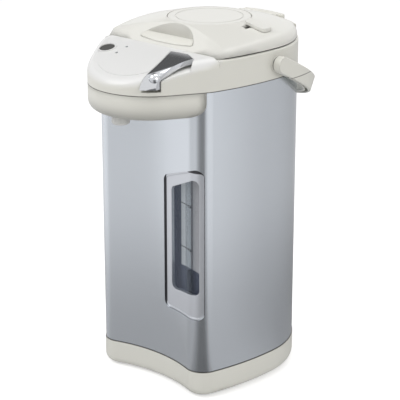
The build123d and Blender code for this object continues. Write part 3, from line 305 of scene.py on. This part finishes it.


def casing_paint(f, shade):
    """The top of the nose is painted whiter as painted light, fading out softly, and joints hold a
    dark line of painted shade.
    """
    height = f.axis("Z")
    slope = height - panel_low[2] - (f.axis("Y") - panel_low[1]) * panel_rise
    # painted light: above the panel's plane the nose's top is mixed towards the panel's white
    top = slope.rise(*top_light_fade) * (1.0 - f.axis("Y").rise(*top_light_back_fade))
    shade = f.mix(top, shade, panel_white)
    # painted shade: dark lines at the heights where the metal skin meets the casing
    joint_shade = f.near(height, shell_high[2], shade_line_half) + f.near(height, shell_low[2], shade_line_half)
    from_pivot = distance(f.axis("Y") - pivot_y, height - pivot_z)
    # painted shade: a dark ring where the handle's boss leaves the casing
    root = f.near(f.axis("X").calc("ABSOLUTE"), pivot_root, pivot_shade_half)
    joint_shade = joint_shade + root * (1.0 - from_pivot.rise(*pivot_shade_end))
    # painted shade: the joint lines are mixed towards a dark grey
    return f.mix(joint_shade.calc("MINIMUM", shade_line_strength), shade, paint(70, 68, 62))


finishes["cream_plastic"] = moulded("cream_plastic", cream, 0.36, drift=0.012, edge=crisp_edge,
                                    paints=casing_paint, Coat_Weight=0.15, Coat_Roughness=0.25)

# %% Lid
lid_shade_band = (0.3701, 0.3705)         # below this height the lid is painted dark, as painted shade in its joint
lid_front = (-0.074, -0.07)          # but not here, where it meets the nose
soft_edge = 0.012
soft_side = (0.039, 0.056)           # the front corners begin this far from the middle
soft_front = (-0.045, -0.02)


def lid_paint(f, shade):
    """The lower edge of the lid is painted dark, as painted shade from its joint."""
    clear_of_lid_shade = f.axis("Z").rise(*lid_shade_band)
    front = 1.0 - f.axis("Y").rise(*lid_front)
    # painted shade: below its joint height the lid's edge is mixed towards a dark grey
    return f.mix(clear_of_lid_shade.calc("MAXIMUM", front), paint(60, 58, 54), shade)


def lid_edge(f):
    """The front corners run softly into the dome, and other edges stay crisp."""
    side = f.axis("X").calc("ABSOLUTE").rise(*soft_side)
    front = 1.0 - f.axis("Y").rise(*soft_front)
    return side * front * soft_edge + crisp_edge


finishes["lid_plastic"] = moulded("lid_plastic", lid_white, 0.3, grain=0.0005, drift=0.01,
                                  edge=crisp_edge, Coat_Weight=0.25, Coat_Roughness=0.18)
lid_finish = moulded("lid_shell", lid_white, 0.3, grain=0.0005, drift=0.01, edge=lid_edge,
                     paints=lid_paint, Coat_Weight=0.25, Coat_Roughness=0.18)

# %% Chin
chin_shade_fade = (0.309, 0.331)           # the painted shade fades out between these heights, where the chin rolls under
chin_shadow = 0.58


def chin_paint(f, shade):
    """The chin is painted darker towards its lower edge, as painted shade where it rolls under."""
    # painted shade: the chin is mixed towards a darker cream below these heights
    clear_of_chin_shade = f.axis("Z").rise(*chin_shade_fade)
    return casing_paint(f, f.mix(clear_of_chin_shade, tone(cream, chin_shadow), shade))


chin_finish = moulded("chin", cream, 0.36, drift=0.012, edge=soft_edge, paints=chin_paint,
                      Coat_Weight=0.15, Coat_Roughness=0.25)

# %% Other plastics
finishes["white_panel"] = moulded("white_panel", panel_white, 0.34, grain=0.0004, depth=0.000004,
                                  drift=0.004, Coat_Weight=0.2, Coat_Roughness=0.25)
finishes["dark_plastic"] = moulded("dark_plastic", paint(52, 54, 60), 0.45, drift=0.08)
finishes["grey_button"] = moulded("grey_button", paint(66, 66, 64), 0.55, grain=0.0009,
                                  depth=0.00004, drift=0.06)
finishes["grey_plastic"] = moulded("grey_plastic", paint(205, 205, 202), 0.42, drift=0.03)
finishes["rubber"] = moulded("rubber", paint(178, 178, 174), 0.6, grain=0.0008, drift=0.05,
                             Sheen_Weight=0.2)
finishes["board_green"] = moulded("board_green", paint(38, 104, 66), 0.4, grain=0.0015,
                                  drift=0.15)
print("plastics:", len(finishes))

# %% [markdown]
# ## Coated metal skin
# The body is a metal sheet with a thin bluish lacquer. Tiny flakes catch the light
# one by one, so a cell noise changes the brightness of each, and long faint streaks
# from the rolling of the sheet run round the body. The lacquer is a coat.

# %% Metal skin
flakes_per_metre = 1800.0
skin_shade_top_half, skin_shade_foot_half = 0.0005, 0.0006


def metal_skin(name, colour):
    """Lacquered sheet with fine flakes, and a line of painted shade where it meets the casing."""
    f = Finish(name)
    flakes = f.add("ShaderNodeTexVoronoi", None,
                   {"Vector": f.place, "Scale": flakes_per_metre}, "Color")
    flake = f.add("ShaderNodeSeparateColor", None, {0: flakes})
    streaks = f.noise(0.006, 2.0, (0.12, 0.12, 3.0))
    cloud = f.noise(0.09, 2.0)
    amount = flake * 0.25 + streaks * 0.35 + cloud * 0.4
    shade = f.mix(amount, tone(colour, 0.96), tone(colour, 1.04))
    height = f.axis("Z")
    # painted shade: dark lines at the top and foot of the skin, where it meets the casing
    skin_joint_shade = (f.near(height, shell_high[2], skin_shade_top_half)
           + f.near(height, shell_low[2], skin_shade_foot_half))
    shade = f.mix(skin_joint_shade.calc("MINIMUM", 1.0), shade, paint(84, 86, 88))
    return f.close(f.body({
        "Base Color": shade, "Metallic": 0.9,
        "Roughness": 0.21 + flake * 0.05 + streaks * 0.02,
        "Normal": f.bump(flake + streaks * 0.3, 0.0000015),
        "Coat Weight": 0.3, "Coat Roughness": 0.1,
    }))


finishes["metal_skin"] = metal_skin("metal_skin", paint(209, 214, 219))

# %% [markdown]
# ## Plated and bare metals
# Chrome on plastic is almost a mirror, with a faint haze where the plating lies over
# the moulding. Drawn and rolled steel shows lines along one direction, so its noise
# is stretched. The window plate is plastic with a silver paint, and a dark band of
# painted shade runs round it where it meets the skin, wider on the left and top.

# %% Metals
bezel_low, bezel_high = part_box("window_bezel")
bezel_round = 0.008                  # corner radius of the outline that the painted shade follows
shade_shift_right = 0.0008                # the painted shade's outline lies this far off the plate's middle
shade_shift_down = 0.0016
shade_begins, shade_darkest = 0.0052, 0.0046    # measured inwards from that outline


def past_straight(value, low, high):
    """How far a value lies past the straight run between two rounded corners."""
    return (value.calc("ABSOLUTE") - ((high - low) / 2 - bezel_round)).calc("MAXIMUM", 0.0)


def bezel_paint(f, shade):
    """The rim of the window plate, where it meets the skin, is painted dark, as painted shade in
    the gap.
    """
    across = f.axis("X") - (bezel_low[0] + bezel_high[0]) / 2 - shade_shift_right
    along = f.axis("Z") - (bezel_low[2] + bezel_high[2]) / 2 + shade_shift_down
    away = distance(past_straight(across, bezel_low[0], bezel_high[0]),
                    past_straight(along, bezel_low[2], bezel_high[2]))
    # painted shade: dark outside an inset outline shifted right and down, so wider on the left and
    # top
    bezel_rim_shade = away.rise(bezel_round - shade_begins, bezel_round - shade_darkest)
    return f.mix(bezel_rim_shade, shade, paint(58, 58, 62))


even = (1.0, 1.0, 1.0)               # brushed in no direction
level_lines = (1.0, 1.0, 12.0)       # finer upwards, so the lines run level
finishes["silver_plastic"] = moulded("silver_plastic", paint(206, 209, 215), 0.3, grain=0.0004,
                                     drift=0.03, edge=0.0008, paints=bezel_paint, Metallic=0.55,
                                     Coat_Weight=0.4, Coat_Roughness=0.1)
finishes["chrome"] = metal("chrome", paint(214, 216, 219), 0.1, even, size=0.004,
                           depth=0.000004, spread=0.03)
finishes["steel"] = metal("steel", paint(200, 199, 196), 0.28, level_lines)
finishes["alloy"] = metal("alloy", paint(188, 188, 188), 0.42, even, size=0.0008, depth=0.00003)
finishes["brass"] = metal("brass", paint(206, 178, 112), 0.25, (6.0, 1.0, 1.0))

# %% [markdown]
# ## Clear window
# The lens over the level tube is clear plastic. Light goes straight through most of
# it, and a glossy layer reflects the room, more strongly at a flat angle. Mixing a
# Transparent and a glossy shader by the angle gives that without the noise of real
# refraction.

# %% Clear plastic
def clear(name, tint):
    """Clear plastic: almost all light goes through, with gloss at a flat angle."""
    f = Finish(name)
    haze = f.noise(0.01, 3.0)
    gloss = f.body({"Base Color": paint(120, 126, 134), "Roughness": 0.05 + haze * 0.05,
                    "Normal": f.bump(haze, 0.00001)})
    through = f.add("ShaderNodeBsdfTransparent", None, {"Color": tint})
    edge = f.add("ShaderNodeLayerWeight", None, {"Blend": 0.5}, "Facing")
    plain_gloss, edge_gloss = 0.05, 0.4
    amount = plain_gloss + edge * edge * edge * edge_gloss
    return f.close(f.add("ShaderNodeMixShader", None, {0: amount, 1: through, 2: gloss}))


finishes["clear_plastic"] = clear("clear_plastic", paint(250, 251, 252))

# %% [markdown]
# ## Give the CAD nodes their finishes
# The record names a slot for each node, and each slot has a finish of the same name,
# so most nodes are simply looked up. The lid, the chin and the tank have their own.

# %% Assign the finishes
slot_of = {part["node"]: part["material_slot"] for part in frame["record"]["subparts"]}
for name, node in nodes.items():
    for place in node.material_slots:
        place.material = finishes[slot_of[name]]
nodes["lid_top"].material_slots[0].material = lid_finish
nodes["spout_cover"].material_slots[0].material = chin_finish
nodes["inner_tank"].material_slots[0].material = metal(
    "tank_steel", paint(214, 214, 212), 0.4, level_lines, metallic=0.45)
print("finished nodes:", len(slot_of))

# %% [markdown]
# ## Scale plate behind the window
# The plate behind the level tube is printed in greys: dark on the left, a light
# stripe behind the tube, a darker stripe on the right, and dark below the level of
# the water. The print is a step in the plate's own X and Z, so smooth steps make it
# instead of a picture. The plate also glows a little, as painted light, so the
# print stays light inside its window.

# %% Scale plate
plate_left = (0.0268, 0.0276)        # dark up to here
plate_side = (0.0432, 0.0446)        # the right stripe begins here
plate_wet = (0.1372, 0.1378)         # dark below here
painted_plate_light = 0.35                    # painted light: the plate glows so that its print stays light inside its window


def scale_plate(name):
    """The printed plate behind the level tube, which also glows a little as painted light."""
    f = Finish(name)
    across = f.axis("X")
    height = f.axis("Z")
    grain = f.noise(0.0007, 2.0)
    side = across.rise(*plate_side)
    upper = f.mix(side, paint(186, 190, 192), paint(152, 151, 153))
    lower = f.mix(side, paint(84, 90, 104), paint(60, 64, 78))
    light = f.mix(1.0 - height.rise(*plate_wet), upper, lower)
    shade = f.mix(1.0 - across.rise(*plate_left), light, paint(74, 79, 93))
    # painted light: the plate's colour also glows faintly
    return f.close(f.body({"Base Color": shade, "Roughness": 0.45 + grain * 0.08,
                           "Normal": f.bump(grain, 0.00001),
                           "Emission Color": shade, "Emission Strength": painted_plate_light}))


nodes["gauge_backing"].material_slots[0].material = scale_plate("scale_plate")

# %% [markdown]
# ## Geometry Nodes for what repeats
# The marks of the scale and the coils of a spring repeat. A small tree makes each:
# its sizes are named inputs on the modifier, it ends in Realize Instances and Set
# Material, and the result is turned into a plain mesh. The inputs are set by their
# socket's identifier.

# %% Geometry Nodes helpers
SIZE = "NodeSocketFloat"
COUNT = "NodeSocketInt"
VECTOR = "NodeSocketVector"
SOLID = "NodeSocketObject"
FINISH = "NodeSocketMaterial"


class Maker(Graph):
    """A Geometry Nodes tree with named inputs."""

    def __init__(self, name, inputs):
        tree = bpy.data.node_groups.new(name, "GeometryNodeTree")
        tree.is_modifier = True
        self.ids = {}
        for label, kind in inputs.items():
            socket = tree.interface.new_socket(label, in_out="INPUT", socket_type=kind)
            self.ids[label] = socket.identifier
        tree.interface.new_socket("Geometry", in_out="OUTPUT", socket_type="NodeSocketGeometry")
        super().__init__(tree)
        self.entry = self.tree.nodes.new("NodeGroupInput")

    def __getitem__(self, label):
        return Link(self, self.entry.outputs[label])

    def end(self, geometry):
        """Closes the tree with a plain mesh in its finish."""
        whole = self.add("GeometryNodeRealizeInstances", None, {"Geometry": geometry})
        made = self.add("GeometryNodeSetMaterial", None,
                        {"Geometry": whole, "Material": self["Finish"]})
        self.add("NodeGroupOutput", None, {0: made})

    def make(self, name, values):
        """Runs the tree once and keeps its result as a plain mesh object."""
        source = bpy.data.objects.new(name + "_source", bpy.data.meshes.new(name + "_source"))
        bpy.context.collection.objects.link(source)
        modifier = source.modifiers.new("tree", "NODES")
        modifier.node_group = self.tree
        for label, value in values.items():
            modifier[self.ids[label]] = value
        mesh = mesh_from(source)
        piece = bpy.data.objects.new(name, mesh)
        bpy.context.collection.objects.link(piece)
        print(name, "faces:", len(mesh.polygons))
        return piece


def mesh_from(source):
    """The finished mesh of an object, which is then removed."""
    bpy.context.view_layer.update()
    ready = source.evaluated_get(bpy.context.evaluated_depsgraph_get())
    mesh = bpy.data.meshes.new_from_object(ready)
    bpy.data.objects.remove(source)
    return mesh


def smooth(piece):
    for face in piece.data.polygons:
        face.use_smooth = True
    return piece


# %% [markdown]
# ## Scale marks and figures
# The marks are printed on the lens, which is slightly hollow from side to side. So
# each mark is a curve whose points are cast straight back onto the lens and then
# given a thin round section. The figures are text made into a mesh, and their points
# are cast onto the lens in the same way.

# %% Tree for the scale marks
print_ink = moulded("print_ink", paint(44, 46, 54), 0.5)
far_front = -0.2                     # casts start here, well in front of the pot
backwards = (0.0, 1.0, 0.0)
marks = Maker("scale_marks", {"Count": COUNT, "Lowest": SIZE, "Step": SIZE, "Left": SIZE,
                              "Right": SIZE, "Line": SIZE, "Lens": SOLID, "Finish": FINISH})
start = marks.add("ShaderNodeCombineXYZ", None,
                  {"X": marks["Left"], "Y": far_front, "Z": marks["Lowest"]})
stop = marks.add("ShaderNodeCombineXYZ", None,
                 {"X": marks["Right"], "Y": far_front, "Z": marks["Lowest"]})
stroke = marks.add("GeometryNodeCurvePrimitiveLine", None, {"Start": start, "End": stop})
stroke = marks.add("GeometryNodeResampleCurve", None, {"Curve": stroke, "Count": 20})
step = marks.add("ShaderNodeCombineXYZ", None, {"X": 0.0, "Y": 0.0, "Z": marks["Step"]})
rungs = marks.add("GeometryNodeMeshLine", {"mode": "OFFSET"},
                  {"Count": marks["Count"], "Offset": step})
rungs = marks.add("GeometryNodeInstanceOnPoints", None, {"Points": rungs, "Instance": stroke})
rungs = marks.add("GeometryNodeRealizeInstances", None, {"Geometry": rungs})
lens = marks.add("GeometryNodeObjectInfo", None, {"Object": marks["Lens"]}, "Geometry")
hit = marks.add("GeometryNodeRaycast", None,
                {"Target Geometry": lens, "Ray Direction": backwards, "Ray Length": 1.0},
                "Hit Position")
rungs = marks.add("GeometryNodeSetPosition", None, {"Geometry": rungs, "Position": hit})
section = marks.add("GeometryNodeCurvePrimitiveCircle", None,
                    {"Resolution": 6, "Radius": marks["Line"]})
marks.end(marks.add("GeometryNodeCurveToMesh", None,
                    {"Curve": rungs, "Profile Curve": section, "Fill Caps": True}))

# %% Scale marks
levels = ("2.0", "3.0")
first_level = 2
mark_low = 0.1663                    # height of the first mark
mark_step = 0.0481
mark_left, mark_right = 0.0385, 0.0550
mark_line = 0.0004
scale_marks = marks.make("scale_marks", {
    "Count": len(levels), "Lowest": mark_low, "Step": mark_step, "Left": mark_left,
    "Right": mark_right, "Line": mark_line, "Lens": nodes["window_lens"], "Finish": print_ink})
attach(scale_marks, "casing")

# %% Scale figures
figure_left = 0.0545
figure_drop = 0.0015                 # a figure's foot lies this far under its mark
figure_height = 0.0030
figure_proud = 0.0004
size_of_height = 1.45                # the font's size for a figure one unit tall
missed_front = -0.095                # stands in where a cast misses the lens


def front_of(target, x, z):
    """Where the front of a node lies behind (x, z)."""
    found, point, _, _ = target.ray_cast((x, far_front, z), backwards)
    return point.y if found else missed_front


def figure(name, words, low, target):
    """Plain figures laid on the front of a node."""
    curve = bpy.data.curves.new(name, "FONT")
    curve.body = words
    curve.size = figure_height * size_of_height
    curve.resolution_u = 3
    source = bpy.data.objects.new(name + "_source", curve)
    bpy.context.collection.objects.link(source)
    mesh = mesh_from(source)
    for corner in mesh.vertices:
        x = figure_left + corner.co.x
        z = low + corner.co.y
        corner.co = (x, front_of(target, x, z) - figure_proud, z)
    piece = bpy.data.objects.new(name, mesh)
    bpy.context.collection.objects.link(piece)
    mesh.materials.clear()
    mesh.materials.append(print_ink)
    thick = piece.modifiers.new("thick", "SOLIDIFY")
    thick.thickness = figure_proud
    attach(piece, "casing")


for number, words in enumerate(levels):
    figure("figure_" + str(number + first_level), words,
           mark_low + number * mark_step - figure_drop, nodes["window_lens"])
print("marks at", mark_low, mark_low + mark_step)

# %% [markdown]
# ## Water in the level tube
# The tube shows how full the tank is. The water in it is a slim column with a curved
# top, because water climbs a little way up the wall. A profile turned round the
# tube's axis makes it: a list of (radius, height) pairs and one ring of points each.

# %% Turned pieces
def turned(name, profile, centre, rings, finish, closed=False):
    """A profile of (radius, height) turned round an upright axis."""
    points = []
    for radius, height in profile:
        for i in range(rings):
            angle = 2 * math.pi * i / rings
            points.append((centre[0] + radius * math.cos(angle),
                           centre[1] + radius * math.sin(angle), height))
    faces = []
    rows = len(profile)
    for row in range(rows if closed else rows - 1):
        low = row * rings
        high = (row + 1) % rows * rings
        for i in range(rings):
            j = (i + 1) % rings
            faces.append((low + i, low + j, high + j, high + i))
    if not closed:
        faces.append(tuple(reversed(range(rings))))
        faces.append(tuple(range((rows - 1) * rings, rows * rings)))
    mesh = bpy.data.meshes.new(name)
    mesh.from_pydata(points, [], faces)
    mesh.materials.append(finish)
    piece = bpy.data.objects.new(name, mesh)
    bpy.context.collection.objects.link(piece)
    return smooth(piece)


def upright_axis(low, high):
    """The middle of a box, seen from above."""
    return ((low[0] + high[0]) / 2, (low[1] + high[1]) / 2)


# %% Water column
def water(name):
    """Water in the tube, which lets part of the light through."""
    f = Finish(name)
    ripple = f.noise(0.002, 2.0)
    shade = f.mix(ripple, paint(92, 98, 112), paint(108, 114, 128))
    return f.close(f.body({"Base Color": shade, "Roughness": 0.08 + ripple * 0.04,
                           "Alpha": 0.55}))


tube_low, tube_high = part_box("gauge_tube")
water_radius = 0.0024
water_foot = 0.002                   # it begins this far above the tube's end
water_top = 0.1375
water_dip = 0.0003                   # each step of the hollow top
column = [(water_radius, tube_low[2] + water_foot), (water_radius, water_top),
          (water_radius * 0.85, water_top - water_dip),
          (water_radius * 0.5, water_top - 2 * water_dip)]
level_water = turned("level_water", column, upright_axis(tube_low, tube_high), 20,
                     water("level_water"))
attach(level_water, "casing")
print("water up to", water_top)

# %% [markdown]
# ## Coil springs
# The air pump and the lever each return on a wire spring, which CAD holds as a plain
# sleeve. A spiral curve with a round section is a real coil.

# %% Coil springs
coil = Maker("coil_spring", {"Turns": SIZE, "Radius": SIZE, "Length": SIZE, "Wire": SIZE,
                             "Foot": VECTOR, "Finish": FINISH})
spiral = coil.add("GeometryNodeCurveSpiral", None, {
    "Resolution": 20, "Rotations": coil["Turns"], "Start Radius": coil["Radius"],
    "End Radius": coil["Radius"], "Height": coil["Length"]})
wire = coil.add("GeometryNodeCurvePrimitiveCircle", None, {"Resolution": 8, "Radius": coil["Wire"]})
spring = coil.add("GeometryNodeCurveToMesh", None,
                  {"Curve": spiral, "Profile Curve": wire, "Fill Caps": True})
coil.end(coil.add("GeometryNodeTransform", None, {"Geometry": spring, "Translation": coil["Foot"]}))


def coil_for(name, node, body, wire_radius, turns):
    """A coil that fills the sleeve of a CAD node and rides on a body."""
    low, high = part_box(node)
    radius = (high[0] - low[0]) / 2 - wire_radius
    foot = upright_axis(low, high) + (low[2] + wire_radius,)
    piece = smooth(coil.make(name, {
        "Turns": turns, "Radius": radius, "Length": high[2] - low[2] - 2 * wire_radius,
        "Wire": wire_radius, "Foot": foot, "Finish": finishes["steel"]}))
    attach(piece, body)
    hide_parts(node)
    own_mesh(piece)


coil_for("pump_coil", "pump_spring", "lid",
         wire_radius=0.0009, turns=7.0)
coil_for("lever_coil", "lever_spring", "casing",
         wire_radius=0.00035, turns=5.0)

# %% [markdown]
# ## Bellows of the air pump
# The bellows is a silicone wall folded like an accordion, closed by the plate above
# and the cup below. Its folds have rounded tops and roots, so the radius follows a
# cosine, and the wall goes up outside and comes down inside.

# %% Bellows
bellows_low, bellows_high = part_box("pump_bellows")
bellows_axis = upright_axis(bellows_low, bellows_high)
bellows_radius = (bellows_high[0] - bellows_low[0]) / 2
bellows_wall = 0.0011
fold_depth = 0.0055
fold_count = 4
fold_steps = 12 * fold_count
outside = []
for i in range(fold_steps + 1):
    share = i / fold_steps
    swing = 0.5 - 0.5 * math.cos(2 * math.pi * fold_count * share)
    outside.append((bellows_radius - fold_depth * swing,
                    bellows_low[2] + (bellows_high[2] - bellows_low[2]) * share))
inside = [(radius - bellows_wall, height) for radius, height in reversed(outside)]
bellows = turned("bellows", outside + inside, bellows_axis, 64, finishes["rubber"], closed=True)
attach(bellows, "lid")
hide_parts("pump_bellows")
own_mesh(bellows)

# %% [markdown]
# ## Studio
# The pot stands on a white floor in a white room. To the camera both are plain
# white, and the floor keeps the soft shadow. Reflections see something else: the
# floor is darker near the pot, and its brightness changes with the direction from
# the pot, which gives the round skin its bright and dark bands. The room has a dark
# ceiling patch and a darker card behind the pot on the left, for crisp edges.

# %% Floor
mirror_levels = (                    # degrees from the front, and the brightness there
    (-180, 0.55), (-120, 0.75), (-72, 1.14), (-50, 1.12), (-36, 0.88), (-20, 0.86),
    (0, 0.9), (12, 0.55), (27, 0.22), (50, 0.22), (64, 1.08), (90, 1.04), (125, 0.72),
    (150, 0.66), (180, 0.55))
mirror_near, mirror_gain = 0.5, 0.43
mirror_fade = (0.2, 0.75)            # from near to far, measured from the pot's axis
mirror_blue = 1.02                   # the mirrored floor is a touch cool
floor_grey = (0.8, 0.8, 0.8, 1.0)
floor_white = 0.45                   # what the camera sees on top of the lit floor
floor_half = 6.0


def floor_finish():
    """White to the camera, and bands of grey to reflections."""
    f = Finish("floor")
    path = f.add("ShaderNodeLightPath", out="Is Camera Ray")
    glossy = f.add("ShaderNodeLightPath", out="Is Glossy Ray")
    x = f.axis("X")
    y = f.axis("Y")
    far = distance(x, y).rise(*mirror_fade)
    turn = x.calc("ARCTAN2", y * -1.0) / (2 * math.pi) + 0.5
    ring = f.add("ShaderNodeValToRGB", {"stops": [
        (degrees / 360 + 0.5, (level, level, level, 1.0)) for degrees, level in mirror_levels
    ]}, {"Fac": turn})
    mirror = (mirror_near + far * mirror_gain) * ring
    lit = f.add("ShaderNodeBsdfDiffuse", None, {"Color": floor_grey})
    white = f.add("ShaderNodeEmission", None,
                  {"Color": (1, 1, 1, 1), "Strength": path * floor_white})
    shown = f.add("ShaderNodeAddShader", None, {0: lit, 1: white})
    cool = f.add("ShaderNodeCombineColor", None,
                 {0: mirror, 1: mirror, 2: mirror * mirror_blue})
    seen = f.add("ShaderNodeEmission", None, {"Color": cool})
    return f.close(f.add("ShaderNodeMixShader", None, {0: glossy, 1: shown, 2: seen}))


floor_mesh = bpy.data.meshes.new("floor")
floor_mesh.from_pydata([(-floor_half, -floor_half, 0), (floor_half, -floor_half, 0),
                        (floor_half, floor_half, 0), (-floor_half, floor_half, 0)],
                       [], [(0, 1, 2, 3)])
floor_mesh.materials.append(floor_finish())
floor = bpy.data.objects.new("floor", floor_mesh)
bpy.context.collection.objects.link(floor)

# %% Room
world = bpy.data.worlds.new("room")
world.use_nodes = True
bpy.context.scene.world = world
room = Graph(world.node_tree)
camera_ray = room.add("ShaderNodeLightPath", out="Is Camera Ray")
glossy_ray = room.add("ShaderNodeLightPath", out="Is Glossy Ray")
through_ray = room.add("ShaderNodeLightPath", out="Is Transmission Ray")
way = room.add("ShaderNodeTexCoord", out="Generated")


def patch(direction, inner, outer):
    """1 in the middle of a round patch of the room, 0 outside it."""
    length = math.sqrt(sum(part * part for part in direction))
    unit = tuple(part / length for part in direction)
    facing = room.add("ShaderNodeVectorMath", {"operation": "DOT_PRODUCT"},
                      {0: way, 1: unit}, "Value")
    return facing.rise(math.cos(math.radians(outer)), math.cos(math.radians(inner)))


ceiling = patch((-0.63, 0.44, 0.64), inner=12.0, outer=27.0)
dark_card = patch((-0.48, 0.62, 0.62), inner=5.0, outer=9.0)
room_gloss = 0.95                    # what reflections see of the plain room
ceiling_loss, card_loss = 0.82, 0.8
gloss = (room_gloss - ceiling * ceiling_loss) * (1.0 - dark_card * card_loss)
plain = camera_ray.calc("MAXIMUM", through_ray)
ambient = 0.52
strength = plain + (1.0 - plain) * (glossy_ray * gloss + (1.0 - glossy_ray) * ambient)
sky = room.add("ShaderNodeBackground", None, {"Color": (1, 1, 1, 1), "Strength": strength})
room.add("ShaderNodeOutputWorld", None, {"Surface": sky})


# %% Lamps
def lamp(name, place, target, size, power, tint=(1.0, 1.0, 1.0)):
    """A round soft lamp that points at a target."""
    light = bpy.data.lights.new(name, "AREA")
    light.shape = "DISK"
    light.size = size
    light.energy = power
    light.color = tint
    holder = bpy.data.objects.new(name, light)
    holder.location = place
    aim = Vector(target) - Vector(place)
    holder.rotation_euler = aim.to_track_quat("-Z", "Y").to_euler()
    bpy.context.collection.objects.link(holder)


lamp("key", (-1.0, -1.5, 1.9), (0, 0, 0.25), size=1.4, power=23.0)
lamp("fill", (1.9, -0.5, 1.0), (0, 0, 0.2), size=1.2, power=9.0, tint=(1.0, 0.99, 0.97))
lamp("top", (0.1, 0.5, 2.2), (0, 0, 0.3), size=1.6, power=12.5)
print("lamps ready")

# %% [markdown]
# ## Finish

# %% Update the scene
bpy.context.view_layer.update()
